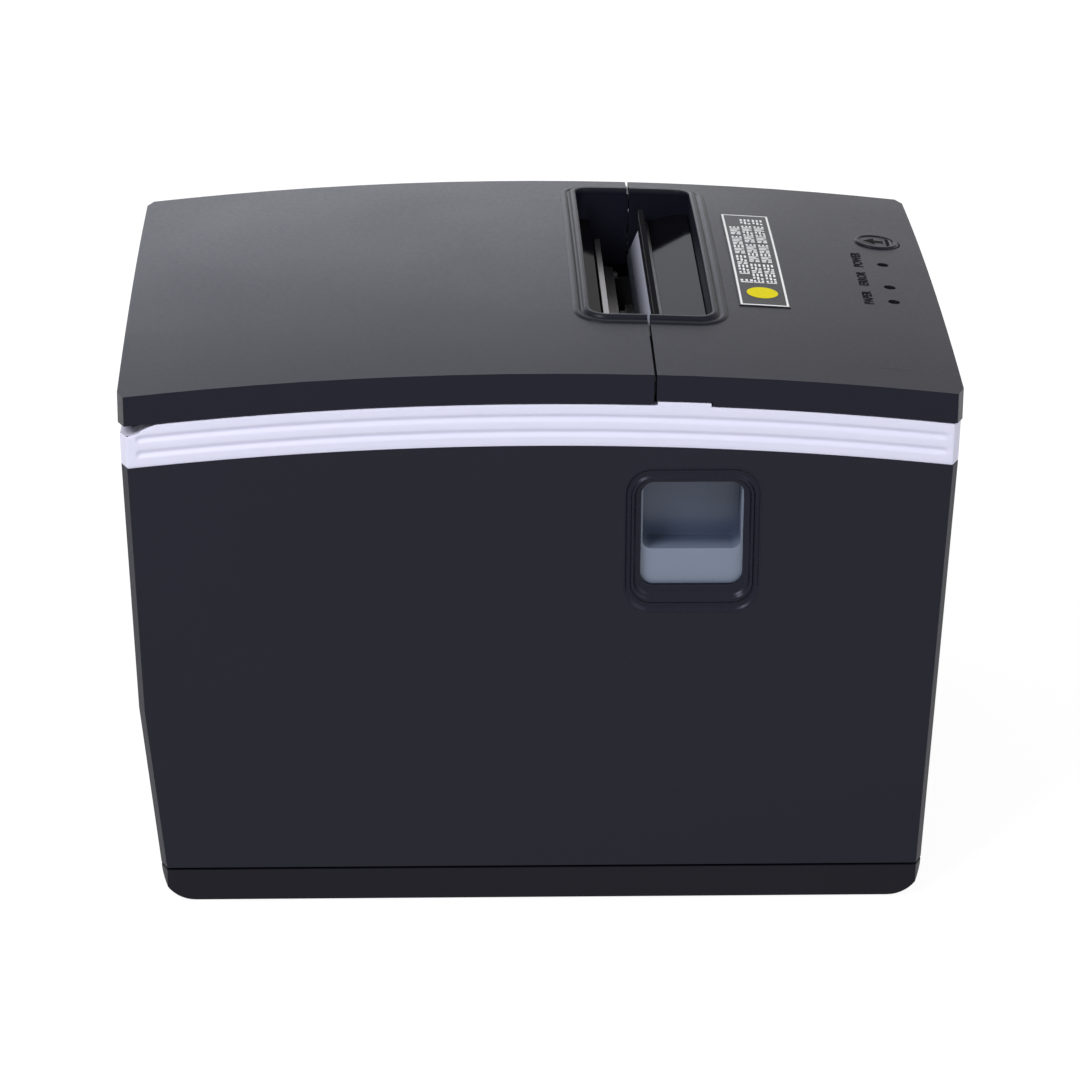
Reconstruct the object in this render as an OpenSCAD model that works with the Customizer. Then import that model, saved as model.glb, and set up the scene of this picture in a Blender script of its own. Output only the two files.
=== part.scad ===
// Receipt printer with a roll cover, a side latch and an automatic cutter.
// Frame: +Z up, -Y is the front, -X is the latch side, origin under the centre of the case.

/* [Case] */
// Width of the case, side to side
body_w = 140; // [138:1:160]
// Depth of the case, front to rear
body_l = 190; // [186:1:210]
// Height of the top edge of the covers at the front and rear ends
cover_end_z = 126; // [122:1:140]
// How much the top rises from the ends to the middle of the depth
arch_rise = 5.4; // [4:0.2:8]
// How much the top rises from the sides to the middle of the width
crown_rise = 2.5; // [1.5:0.1:4]
// Wall of the case
wall = 2.5; // [2:0.1:3]
// Thickness of the covers' tops
cover_t = 2.5; // [2:0.1:3]
// Height of the covers' skirts
skirt_h = 7; // [6:0.1:8]
// Height of the pale trim belt
belt_h = 10; // [8:0.1:11]
// Gap between the trim belt and the covers
joint_gap = 0.4; // [0.3:0.05:0.6]
// Visible height of the bottom case
base_h = 7.7; // [7:0.1:9]
// Radius of the bottom case's front and rear lower edges
base_round = 8; // [6:0.5:10]
// Shadow groove between the bottom case and the body
seam_gap = 0.6; // [0.4:0.1:1]
// Corner bevel, measured across the width
corner_x = 3.5; // [2:0.25:5]
// Corner bevel, measured along the depth
corner_y = 1.5; // [1:0.25:2.5]
// Height at which the rear wall changes its slope
kink_z = 48.5; // [44:0.5:54]
// Inward lean of the rear wall above that height
rear_lean_upper = 2.3; // [1:0.1:3.5]
// Inward lean of the rear wall below that height
rear_lean_lower = 4.2; // [2:0.1:4.5]
// Inward lean of the front wall
front_lean = 4.6; // [2:0.1:5]
// Set-back of the body below the trim belt
body_inset = 0.5; // [0.3:0.1:1]
// Diameter of the rubber feet
foot_d = 12; // [10:0.5:14]
// Height that the feet stand proud
foot_h = 0.6; // [0.4:0.1:1.5]

/* [Covers and paper exit] */
// Distance from the front end to the split between the covers
split_front = 69.6; // [68:0.2:72]
// Gap between the two covers
split_gap = 0.6; // [0.4:0.1:1]
// Width of the paper exit recess
exit_w = 98; // [94:0.5:100]
// Length of the recess in front of the split
exit_front = 15; // [14:0.25:16]
// Length of the recess behind the split
exit_rear = 13.4; // [13:0.2:15]
// Corner radius of the recess
exit_r = 4; // [2:0.5:6]
// Height of the bead around the recess
bead_h = 0.4; // [0.2:0.1:0.8]
// Radius of the hinge barrels
hinge_r = 2.4; // [2.2:0.1:2.4]
// Radius of the hinge pins
hinge_pin_r = 1.2; // [1:0.1:1.3]
// Diameter of the feed button
button_d = 10.6; // [9:0.2:12]
// Radius of the indicator lenses
lens_r = 1.35; // [1:0.05:1.6]
// Length of the label, across the width
label_w = 68.6; // [60:0.5:74]
// Width of the label, along the depth
label_l = 11.9; // [10:0.1:14]

/* [Print mechanism] */
// Width of the paper
paper_w = 80; // [76:0.5:80]
// Diameter of the largest paper roll
roll_d = 80; // [74:1:82]
// Distance of the paper's middle from the middle of the case
paper_x = 13; // [12:0.25:14]
// Diameter of the platen roller
platen_d = 14; // [13.4:0.1:14.2]
// Radius of the platen shaft
shaft_r = 3; // [2.5:0.1:3.2]
// Tooth module of the feed gears
gear_module = 0.6; // [0.55:0.01:0.6]
// Teeth on the platen gear
platen_teeth = 24; // [22:1:24]
// Teeth on the idler gear
idler_teeth = 44; // [42:1:46]
// Teeth on the motor pinion
pinion_teeth = 14; // [13:1:15]
// Width of the gears
gear_w = 3.5; // [2.5:0.1:3.6]
// Radius of the feed motor
motor_r = 14; // [12:0.25:14.5]
// Length of the feed motor
motor_l = 20; // [14:0.5:24]
// Thickness of the steel side plates
plate_t = 1.5; // [1:0.1:1.6]
// Travel of the cutter blade
cut_travel = 12; // [9:0.5:12.5]
// Tooth module of the cutter drive
rack_module = 0.8; // [0.7:0.05:0.85]

/* [Latch] */
// Width of the latch window
window_w = 23.4; // [22:0.1:26]
// Height of the latch window
window_h = 25.3; // [23:0.1:27]
// Travel of the latch lever
lever_travel = 5; // [4:0.25:5.5]
// Depth of the latch lever
lever_t = 10.7; // [9:0.1:11]
// Thickness of the latch hooks
hook_t = 1.6; // [1.2:0.1:1.8]

/* [Hidden] */

eps = 0.01;
slack = 0.3;      // clearance between parts that move past each other
fit = 0.05;       // radial running clearance of shafts and pins
fine = 720;       // segments of the large arcs
round_fn = 64;    // segments of ordinary round features

// --- levels and outlines of the case
half_w = body_w / 2;
half_l = body_l / 2;
arch_r = (half_l * half_l + arch_rise * arch_rise) / (2 * arch_rise);
crown_r = (half_w * half_w + crown_rise * crown_rise) / (2 * crown_rise);
seam_z = foot_h + base_h;
body_z = seam_z + seam_gap;
skirt_z = cover_end_z - skirt_h;
belt_z1 = skirt_z - joint_gap;
belt_z0 = belt_z1 - belt_h;
side_x = half_w - body_inset;
inner_x = side_x - wall;
floor_t = 2.5;
floor_z = foot_h + floor_t;
form_depth = 60;  // how far the covers' round form reaches down
blank_z = cover_end_z - 26;

function rear_drop(z) =
  z > kink_z
    ? rear_lean_upper * (belt_z0 - z) / (belt_z0 - kink_z)
    : rear_lean_upper + rear_lean_lower * (kink_z - z) / (kink_z - seam_z);
function rear_y(z) = half_l - body_inset - rear_drop(z);
function front_y(z) = half_l - body_inset - front_lean * (belt_z0 - z) / (belt_z0 - seam_z);
function arch_at(y) = sqrt(arch_r * arch_r - y * y) - arch_r + arch_rise;
function crown_at(x) = sqrt(crown_r * crown_r - x * x) - crown_r + crown_rise;
function top_at(x, y) = cover_end_z + arch_at(y) + crown_at(x);

// --- split, recess and hinge
split_y = split_front - half_l;
rear_edge_y = split_y + split_gap / 2;
front_edge_y = split_y - split_gap / 2;
exit_x = paper_x - 1;
exit_x0 = exit_x - exit_w / 2;
exit_x1 = exit_x + exit_w / 2;
exit_y0 = split_y - exit_front;
exit_y1 = split_y + exit_rear;
exit_wall = 1.5;
exit_wall_z = cover_end_z - 3.5;
exit_side_z = cover_end_z - 13.6;
lip_l = 3;
lip_t = 1.2;
notch_l = 12.6;
notch_h = 0.9;
hinge_y = half_l - hinge_r - body_inset;
hinge_z = skirt_z + 1.5;
hinge_clear = hinge_r + 0.7;
hinge_sweep = norm([half_l - hinge_y, hinge_z - skirt_z]) + slack;
lug_z = belt_z0 + 3.5;
lug_x0 = half_w - 15.7;
lug_x1 = half_w - 10;
barrel_x0 = half_w - 28;

// --- mechanism
platen_y = split_y + 9.4;
platen_z = cover_end_z - 22;
paper_x0 = paper_x - paper_w / 2;
paper_x1 = paper_x + paper_w / 2;
arm_gap = 1;
arm_t = 2.5;
arm_l1 = paper_x0 - arm_gap;
arm_l0 = arm_l1 - arm_t;
arm_r0 = paper_x1 + arm_gap;
arm_r1 = arm_r0 + arm_t;
plate_l1 = arm_l0 - 1.5;
plate_l0 = plate_l1 - plate_t;
plate_r0 = arm_r1 + 1.5;
plate_r1 = plate_r0 + plate_t;
hook_l1 = plate_l0 - 0.9;
hook_l0 = hook_l1 - hook_t;
hook_r0 = plate_r1 + 0.5;
hook_r1 = hook_r0 + hook_t;
gear_x1 = hook_l0 - 1.5;
gear_x0 = gear_x1 - gear_w;
well_x0 = gear_x0 - 1;
well_x1 = hook_r1 + 0.9;
well_t = 2;
well_z = platen_z - 42;
well_floor = well_z + 2.5;
well_y0 = split_y - 50.4;
bay_r = roll_d / 2 + 3;
bay_x0 = arm_l1 - 0.5;
bay_x1 = arm_r0 + 0.5;
bay_y0 = platen_y + 11;
bay_y = bay_y0 + bay_r;
bay_z = platen_z - 32;
bay_t = 2;
well_y1 = bay_y0 - bay_t;
deck_z = platen_z;
deck_t = 2.5;
deck_top = deck_z + deck_t;
mech_y0 = well_y0 + 2;
mech_y1 = well_y1 - 2;
rail_z = platen_z + 5.5;
blade_z = rail_z + 2;
blade_t = 1;
cutter_t = 1.7;
fixed_z = blade_z + 1.5;
chute_z = fixed_z - 0.2;
tear_z = chute_z + 10.1;
tear_y0 = split_y - 4.9;
tear_y1 = split_y - 2.3;
chute_edge = platen_y - platen_d / 2 - 2.3;
blade_rest = platen_y - platen_d / 2 - 2.5;
head_y = platen_y - platen_d / 2 - 0.4;
ceramic_t = 1.5;
sink_t = 6;
head_z0 = platen_z - 18;
head_z1 = platen_z - 1.4;
sink_y0 = head_y - ceramic_t - sink_t;
spring_l = 5.6;

// --- feed gears, seen from the side, all turning about X
platen_gear_r = gear_module * platen_teeth / 2;
idler_r = gear_module * idler_teeth / 2;
pinion_r = gear_module * pinion_teeth / 2;
idler_dir = 230;
pinion_dir = 200;
idler_y = platen_y + (platen_gear_r + idler_r) * cos(idler_dir);
idler_z = platen_z + (platen_gear_r + idler_r) * sin(idler_dir);
pinion_y = idler_y + (idler_r + pinion_r) * cos(pinion_dir);
pinion_z = idler_z + (idler_r + pinion_r) * sin(pinion_dir);
idler_turn = mesh_turn(idler_dir, idler_dir, platen_teeth, idler_teeth);
pinion_turn = mesh_turn(pinion_dir, idler_turn, idler_teeth, pinion_teeth);
idler_axle_r = 1.5;
motor_shaft_r = 1;
boss_r = 4.5;

// --- cutter drive, seen from above
rack_teeth = 12;
rack_r = rack_module * rack_teeth / 2;
rack_pitch = rack_module * PI;
drive_x = paper_x;
drive_y = split_y - 32.6;
arm_w = 5;
blade_wide_y1 = blade_rest - 13.5;
blade_wide_y0 = blade_wide_y1 - 10;
arm_end_y = drive_y - cut_travel - 3.3;
cutter_motor_r = 8;
cutter_motor_l = 18;
drive_shaft_r = 1;

// --- latch
window_y = split_y - 9;
window_z = cover_end_z - 34.1;
ring_z = window_z - 1.1;
ring_grow_w = 7.2;
ring_grow_h = 9.8;
lever_side = 1;
lever_w = window_w + 2 * lever_side - 0.6;
lever_x0 = -inner_x + slack;
lever_x1 = lever_x0 + lever_t;
lever_z0 = window_z - window_h / 2 - 5.4;
lever_z1 = window_z + window_h / 2 + lever_travel + 1.2;
ledge_z = window_z - 4.2;
rib_t = 4;
rib_z0 = lever_z0 - 5;
rib_z1 = deck_z - 0.5;
rib_x1 = lever_x1 + slack;
retainer_t = 1.5;
pivot_back = 4;
pivot_drop = 32;
pivot_y = platen_y - pivot_back;
pivot_z = platen_z - pivot_drop;
hook_shaft_r = 2;
hook_eye_r = 4;
hook_half = 3;
hook_web = 3.2;
crank_l = 20;
link_y = pivot_y - crank_l;
link_r = 1.5;
crank_top = pivot_z + 2.2;
link_z = crank_top + slack + link_r;
crank_t = 3;
crank_x0 = lever_x1 + 3.5;
crank_x1 = crank_x0 + crank_t;
link_x1 = crank_x1 + 0.5;
spring_r = 3;
spring_wire = 0.5;
spring_z0 = lever_z0 - 14.8;

// --- feet, boards, ports and posts
foot_x = half_w - 16;
foot_front_y = 24 - half_l;
foot_rear_y = half_l - 26;
post_r = 3.5;
web_x = 2.2;
post_x = inner_x - post_r - 0.5;
post_front = half_l - 15.4;
post_rear = half_l - 19;
post_hole_r = 1.35;
screw_r = 1.3;
board_t = 1.6;
board_z = floor_z + 5;
board_top = board_z + board_t;
board_x = 55;
chip = 20;
chip_t = 2;
small_chip = [14, 12, 1.5];
header = [15, 20, 10];
capacitor_r = 5;
capacitor_h = 11;
board_y0 = -half_l + 25;
board_y1 = half_l - 15;
standoff_x = 50;
standoff_y0 = board_y0 + 5;
standoff_y1 = board_y1 - 30;
panel_y1 = rear_y(board_top) - wall - 1.1;
panel_t = 1.5;
panel_y0 = panel_y1 - panel_t;
panel_z1 = board_top + 26;
port_face = panel_y1;
port_half = 50;
port_z1 = panel_z1 - 1.5;
port_z0 = board_top + 1;
inlet_x = 40;
usb_x = 21;
network_x = 1;
drawer_x = -20;
switch_x = -40;
switch_z = board_top + 12;
rocker_y = port_face - 5.7;
front_board_z = skirt_z - 1;
button_x = 26.8;
button_y = 10.35 - half_l;
led_y = 10.8 - half_l;
led_x = [9, -7.4, -17.4];
lens_drop = 0.5;
button_z = top_at(button_x, button_y);
button_stroke = 0.8;
flange_t = 1;
flange_low = cover_t + 0.5 + flange_t;
label_x = 7.2;
label_y = split_y - 27.7;
label_t = 0.2;
cover_post_x = half_w - 14;
cover_post_y = 10.5 - half_l;

// === shared shapes ===

module along_x(x0, x1) {
  translate([x0, 0, 0]) rotate([90, 0, 90]) linear_extrude(x1 - x0) children();
}

module rod_x(r, x0, x1, y, z, fn = round_fn) {
  translate([x0, y, z]) rotate([0, 90, 0]) cylinder(r = r, h = x1 - x0, $fn = fn);
}

module block(x0, x1, y0, y1, z0, z1) {
  translate([x0, y0, z0]) cube([x1 - x0, y1 - y0, z1 - z0]);
}

module strip(y0, y1, z0, z1) {
  translate([y0, z0]) square([y1 - y0, z1 - z0]);
}

module round_rect(w, h, r) {
  square([w - 2 * r, h], center = true);
  square([w, h - 2 * r], center = true);
  for (sx = [-1, 1])
    for (sy = [-1, 1])
      translate([sx * (w / 2 - r), sy * (h / 2 - r)]) circle(r = r, $fn = round_fn);
}

// Plan outline with bevelled corners
function bevel_points(x, y0, y1) = [
  [-x + corner_x, y0], [x - corner_x, y0], [x, y0 + corner_y], [x, y1 - corner_y],
  [x - corner_x, y1], [-x + corner_x, y1], [-x, y1 - corner_y], [-x, y0 + corner_y]
];

module bevelled(x, y0, y1) {
  polygon(bevel_points(x, y0, y1));
}

module body_plan(z, inset) {
  bevelled(side_x - inset, inset - front_y(z), rear_y(z) - inset);
}

// A prism between two bevelled outlines, each given as [half width, front, rear, level]
module bevelled_prism(low, high) {
  n = 8;
  polyhedron(
    points = [for (o = [low, high]) for (p = bevel_points(o[0], o[1], o[2])) [p[0], p[1], o[3]]],
    faces = concat(
      [[for (i = [0:n - 1]) i], [for (i = [n - 1:-1:0]) n + i]],
      [for (i = [0:n - 1]) [(i + 1) % n, i, n + i, n + (i + 1) % n]]
    )
  );
}

// The tapering body between two levels
module tapered(z0, z1, inset) {
  bevelled_prism(
    [side_x - inset, inset - front_y(z0), rear_y(z0) - inset, z0],
    [side_x - inset, inset - front_y(z1), rear_y(z1) - inset, z1]
  );
}

// Everything under the arch that meets the ends at height z
module arch_zone(z) {
  translate([0, z + arch_rise - arch_r]) circle(r = arch_r, $fn = fine);
}

module under_arch(z) {
  along_x(-half_w - 1, half_w + 1) arch_zone(z);
}

// Everything under the arched and crowned top that meets the corners at height z
module cover_form(z) {
  translate([0, 0, z + arch_rise - arch_r])
    rotate([0, 90, 0])
      rotate_extrude($fn = fine)
        intersection() {
          translate([arch_r + crown_rise - crown_r, 0]) circle(r = crown_r, $fn = fine);
          translate([arch_r - form_depth, -half_w - 5]) square([form_depth + 10, body_w + 10]);
        }
}

module cover_blank(z, inset, y0, y1) {
  intersection() {
    translate([0, 0, blank_z])
      linear_extrude(form_depth)
        intersection() {
          bevelled(half_w - inset, inset - half_l, half_l - inset);
          translate([-half_w - 1, y0]) square([body_w + 2, y1 - y0]);
        }
    cover_form(z);
  }
}

// The rounded outline of the recess, grown by g, cut to a stretch of the depth
module exit_outline(g, y0, y1) {
  intersection() {
    translate([exit_x, (exit_y0 + exit_y1) / 2])
      round_rect(exit_w + 2 * g, exit_y1 - exit_y0 + 2 * g, exit_r + g);
    translate([-half_w, y0]) square([body_w, y1 - y0]);
  }
}

// One cover: shell, bead and recess wall between y0 and y1
module cover_shell(y0, y1, inner_y0, inner_y1) {
  difference() {
    union() {
      difference() {
        cover_blank(cover_end_z, 0, y0, y1);
        cover_blank(cover_end_z - cover_t, wall, inner_y0, inner_y1);
        under_arch(skirt_z);
      }
      intersection() {
        translate([0, 0, exit_wall_z])
          linear_extrude(30) exit_outline(exit_wall, y0, y1);
        cover_form(cover_end_z + bead_h);
      }
      for (x = [exit_x0 - exit_wall, exit_x1])
        block(x, x + exit_wall, max(y0, exit_y0 + exit_r), min(y1, exit_y1 - exit_r),
              exit_side_z, exit_wall_z + 1);
    }
    translate([0, 0, blank_z]) linear_extrude(form_depth) exit_outline(0, y0 - 1, y1 + 1);
  }
}

function mesh_turn(dir, turn, teeth, mate) =
  dir + 180 - (turn - dir) * teeth / mate + 180 / mate;

// Angle by which an involute has turned away at pressure angle a
function involute(a) = tan(a) * 180 / PI - a;

// Spur gear outline with some backlash
module gear_outline(teeth, m) {
  pressure = 20;
  pitch_r = m * teeth / 2;
  base_r = pitch_r * cos(pressure);
  tip_r = pitch_r + 0.85 * m;
  root_r = pitch_r - 1.2 * m;
  low_r = max(base_r, root_r);
  half_tooth = 82 / teeth;
  steps = 4;
  radii = [for (i = [0:steps]) low_r + (tip_r - low_r) * i / steps];
  flank = [for (r = radii) [r, half_tooth + involute(pressure) - involute(acos(base_r / r))]];
  polygon([
    for (t = [0:teeth - 1])
      let (mid = t * 360 / teeth)
        each concat(
          [[root_r * cos(mid - flank[0][1]), root_r * sin(mid - flank[0][1])]],
          [for (p = flank) [p[0] * cos(mid - p[1]), p[0] * sin(mid - p[1])]],
          [for (i = [steps:-1:0])
            [flank[i][0] * cos(mid + flank[i][1]), flank[i][0] * sin(mid + flank[i][1])]],
          [[root_r * cos(mid + flank[0][1]), root_r * sin(mid + flank[0][1])]]
        )
  ]);
}

// Coil spring that stands on z = 0
module coil(r, wire, height, turns) {
  seg = 20;
  sides = 8;
  n = turns * seg;
  rise = height - 2 * wire;
  pts = [
    for (i = [0:n])
      for (s = [0:sides - 1])
        let (a = i * 360 / seg, b = s * 360 / sides)
          [
            (r + wire * cos(b)) * cos(a),
            (r + wire * cos(b)) * sin(a),
            wire + rise * i / n + wire * sin(b)
          ]
  ];
  walls = [
    for (i = [0:n - 1])
      for (s = [0:sides - 1])
        let (a = i * sides + s, b = i * sides + (s + 1) % sides)
          [a, b, b + sides, a + sides]
  ];
  polyhedron(
    points = pts,
    faces = concat(
      [[for (s = [sides - 1:-1:0]) s]],
      walls,
      [[for (s = [0:sides - 1]) n * sides + s]]
    ),
    convexity = 6
  );
}

module at_posts() {
  for (sx = [-1, 1]) {
    translate([sx * post_x, -post_front, 0]) children();
    translate([sx * post_x, post_rear, 0]) children();
  }
}

// === case ===

module base_profile(inset) {
  r = base_round - inset;
  y0 = inset - front_y(seam_z);
  y1 = rear_y(seam_z) - inset;
  z0 = foot_h + (inset > 0 ? floor_t : 0);
  intersection() {
    strip(y0, y1, z0, body_z + 1);
    union() {
      translate([y0 + r, foot_h + inset + r]) circle(r = r, $fn = round_fn);
      translate([y1 - r, foot_h + inset + r]) circle(r = r, $fn = round_fn);
      strip(y0 + r, y1 - r, foot_h, body_z + 1);
      strip(y0, y1, foot_h + inset + r, body_z + 2);
    }
  }
}

module base_block(inset, top) {
  intersection() {
    along_x(inset - side_x, side_x - inset) base_profile(inset);
    linear_extrude(top) body_plan(seam_z, inset);
  }
}

module base_case() {
  step = wall / 2;
  color("#24242b")
    difference() {
      union() {
        difference() {
          union() {
            base_block(0, seam_z);
            base_block(step, body_z);
          }
          base_block(wall, body_z + 1);
        }
        for (x = [-standoff_x, standoff_x])
          for (y = [standoff_y0, standoff_y1])
            translate([x, y, floor_z - 1]) cylinder(r = 3, h = board_z - floor_z + 1, $fn = round_fn);
      }
      at_feet() cylinder(r = foot_d / 2 + 0.2, h = foot_h + 0.8, $fn = round_fn);
      at_posts() cylinder(r = 1.7, h = floor_z + 1, $fn = round_fn);
      at_posts() cylinder(r = 3.2, h = foot_h + 1.2, $fn = round_fn);
    }
}

module at_feet() {
  for (sx = [-1, 1])
    for (y = [foot_front_y, foot_rear_y])
      translate([sx * foot_x, y, 0]) children();
}

module foot(x, y) {
  color("#1a1a1c") translate([x, y, 0]) cylinder(r = foot_d / 2, h = foot_h + 0.8, $fn = round_fn);
}

module foot_front_left() {
  foot(-foot_x, foot_front_y);
}

module foot_front_right() {
  foot(foot_x, foot_front_y);
}

module foot_rear_left() {
  foot(-foot_x, foot_rear_y);
}

module foot_rear_right() {
  foot(foot_x, foot_rear_y);
}

module post() {
  difference() {
    translate([0, 0, floor_z + slack])
      cylinder(r = post_r, h = deck_z - floor_z - slack, $fn = round_fn);
    translate([0, 0, floor_z - 1]) cylinder(r = post_hole_r, h = 12, $fn = round_fn);
  }
}

module latch_cuts() {
  along_x(-half_w, -side_x + 0.7)
    translate([window_y, ring_z]) round_rect(window_w + ring_grow_w, window_h + ring_grow_h, 6);
  along_x(-half_w, -side_x + 1.4)
    translate([window_y, ring_z]) round_rect(window_w + 3.4, window_h + 4.2, 4.5);
  along_x(-half_w, -inner_x + 1)
    translate([window_y, window_z]) round_rect(window_w, window_h, 3);
}

// Ribs that guide the lever, and the shelf under its spring
module lever_seat() {
  for (y = [window_y - lever_w / 2 - slack - rib_t, window_y + lever_w / 2 + slack])
    block(-inner_x - 0.5, rib_x1, y, y + rib_t, rib_z0, rib_z1);
  block(-inner_x - 0.5, lever_x0 + 2 * spring_r + 5, window_y - 5, window_y + 5,
        spring_z0 - 2, spring_z0);
}

module hinge_lug(side) {
  x0 = side > 0 ? lug_x0 : -lug_x1;
  x1 = side > 0 ? lug_x1 : -lug_x0;
  difference() {
    union() {
      block(x0, x1, hinge_y - hinge_r, half_l - body_inset - wall - slack, deck_top + 0.7, hinge_z);
      block(x0, x1, hinge_y - hinge_r, hinge_y + 1, deck_top + 0.7, belt_z0 - 0.2);
      block(x0, x1, hinge_y - hinge_r, hinge_y + hinge_r, lug_z, hinge_z);
      rod_x(hinge_r, x0, x1, hinge_y, hinge_z);
    }
    rod_x(hinge_pin_r, x0 - 1, x1 + 1, hinge_y, hinge_z);
  }
}

module body_shell() {
  top_z = belt_z0 + arch_rise + 1;
  color("#26262e") {
    difference() {
      intersection() {
        union() {
          tapered(body_z, kink_z, 0);
          tapered(kink_z, top_z, 0);
        }
        under_arch(belt_z0);
      }
      tapered(body_z - 1, kink_z, wall);
      tapered(kink_z, top_z + 1, wall);
      latch_cuts();
      block(-port_half, port_half, panel_y1 - 1, half_l, port_z0, port_z1);
    }
    port_frame();
    at_posts() post();
    for (sx = [-1, 1])
      for (y = [-post_front, post_rear])
        block(sx > 0 ? post_x + web_x : -inner_x - 0.5, sx > 0 ? inner_x + 0.5 : -post_x - web_x,
              y - 1.5, y + 1.5, body_z + 2, deck_z - 1);
    lever_seat();
    hinge_lug(-1);
    hinge_lug(1);
  }
}

// Rim behind the rear wall that carries the port panel
module port_frame() {
  difference() {
    intersection() {
      block(-port_half - 2, port_half + 2, panel_y1, half_l, body_z, panel_z1 + 1);
      tapered(body_z, kink_z, 0.5);
    }
    block(-port_half, port_half, panel_y1 - 1, half_l, port_z0, port_z1);
  }
}

module belt_zone() {
  difference() {
    union() {
      arch_zone(belt_z1);
      intersection() {
        arch_zone(belt_z1 + notch_h);
        strip(front_edge_y - notch_l + 0.3, front_edge_y - 0.3, belt_z1, belt_z1 + 20);
      }
    }
    arch_zone(belt_z0);
    translate([hinge_y, hinge_z]) circle(r = hinge_sweep, $fn = round_fn);
    strip(hinge_y, half_l + 1, hinge_z - hinge_sweep, hinge_z + 20);
  }
}

module groove_zone(z) {
  intersection() {
    difference() {
      arch_zone(z + 1);
      arch_zone(z);
    }
    strip(3.5 - half_l, half_l - 4, belt_z0, belt_z1 + 10);
  }
}

module trim_belt() {
  depth = 0.6;
  gusset = 2.2;
  color("#d7d7ea") {
    for (x = [-inner_x - 0.5, inner_x - gusset])
      block(x, x + gusset + 0.5, hinge_y - hinge_sweep, hinge_y + 1,
            belt_z0 + 1, hinge_z - hinge_sweep);
    difference() {
      intersection() {
        difference() {
          bevelled_prism(
            [side_x, body_inset - half_l, half_l - body_inset, belt_z0 - 1],
            [half_w - 0.1, 0.1 - half_l, half_l - 0.1, belt_z1 + arch_rise + 1]
          );
          translate([0, 0, belt_z0 - 2])
            linear_extrude(belt_h + arch_rise + 6)
              bevelled(inner_x, wall + body_inset - half_l, half_l - wall - body_inset);
        }
        along_x(-half_w, half_w) belt_zone();
      }
      for (h = [2.7, 6.3]) {
        along_x(-half_w - 1, -side_x + depth) groove_zone(belt_z0 + h);
        along_x(side_x - depth, half_w + 1) groove_zone(belt_z0 + h);
      }
      for (sx = [-1, 1])
        block(sx > 0 ? lug_x0 - 0.3 : -lug_x1 - 0.3, sx > 0 ? lug_x1 + 0.3 : -lug_x0 + 0.3,
              hinge_y - hinge_r - 0.3, half_l + 1, lug_z - slack, hinge_z);
    }
  }
}

// === inner frame with the roll bay and the mechanism well ===

// Round below, straight above, open to the top
module bay_outline(r, top) {
  intersection() {
    translate([bay_y, bay_z]) circle(r = r, $fn = 128);
    strip(bay_y - r, bay_y + r, bay_z - r, bay_z + 1);
  }
  strip(bay_y - r, bay_y + r, bay_z, top);
}

module inner_frame() {
  color("#33333a")
    difference() {
      union() {
        difference() {
          translate([0, 0, deck_z]) linear_extrude(deck_t) body_plan(deck_z, wall + slack);
          block(-half_w, rib_x1 + 1, window_y - lever_w / 2 - rib_t - 1,
                window_y + lever_w / 2 + rib_t + 1, deck_z - 1, deck_top + 1);
        }
        along_x(bay_x0 - bay_t, bay_x1 + bay_t) bay_outline(bay_r + bay_t, deck_top);
        block(well_x0 - well_t, well_x1 + well_t, well_y0, bay_y0, well_z, deck_top);
        for (x = [-20, 32])
          translate([x, cover_post_y + 2, deck_z])
            cylinder(r = 2.5, h = front_board_z - deck_z, $fn = round_fn);
        at_mech_screws()
          translate([0, 0, well_z - 6]) cylinder(r = 3.2, h = 7, $fn = round_fn);
      }
      along_x(bay_x0, bay_x1) bay_outline(bay_r, deck_top + 1);
      block(well_x0, well_x1, well_y0 + well_t, well_y1, well_floor, deck_top + 1);
      rod_x(hook_shaft_r + 0.4, well_x0 - well_t - 1, well_x0 + 1, pivot_y, pivot_z);
      at_mech_screws()
        translate([0, 0, well_z - 7]) cylinder(r = post_hole_r, h = 12, $fn = round_fn);
    }
}

module at_mech_screws() {
  for (x = [paper_x0 - 1, paper_x1 + 1])
    for (y = [mech_y0 + 6, mech_y1 - 5])
      translate([x, y, 0]) children();
}

// === covers ===

// Lip of the front cover that reaches under the edge of the rear cover
module split_lip() {
  top_z = cover_end_z - cover_t;
  side = exit_wall + 2 * slack;
  difference() {
    union() {
      cover_blank(top_z - slack, wall + slack, front_edge_y - lip_l, front_edge_y + lip_l);
      cover_blank(top_z + 0.2, wall - 0.2, front_edge_y - lip_l, front_edge_y - 0.5);
    }
    cover_blank(top_z - slack - lip_t, wall + slack + lip_t,
                front_edge_y - lip_l - 1, front_edge_y + lip_l + 1);
    under_arch(skirt_z + notch_h + slack);
    block(gear_x0 - side, exit_x1 + side, front_edge_y - lip_l - 1, front_edge_y + lip_l + 1,
          exit_side_z - 10, cover_end_z + 20);
  }
}

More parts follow.
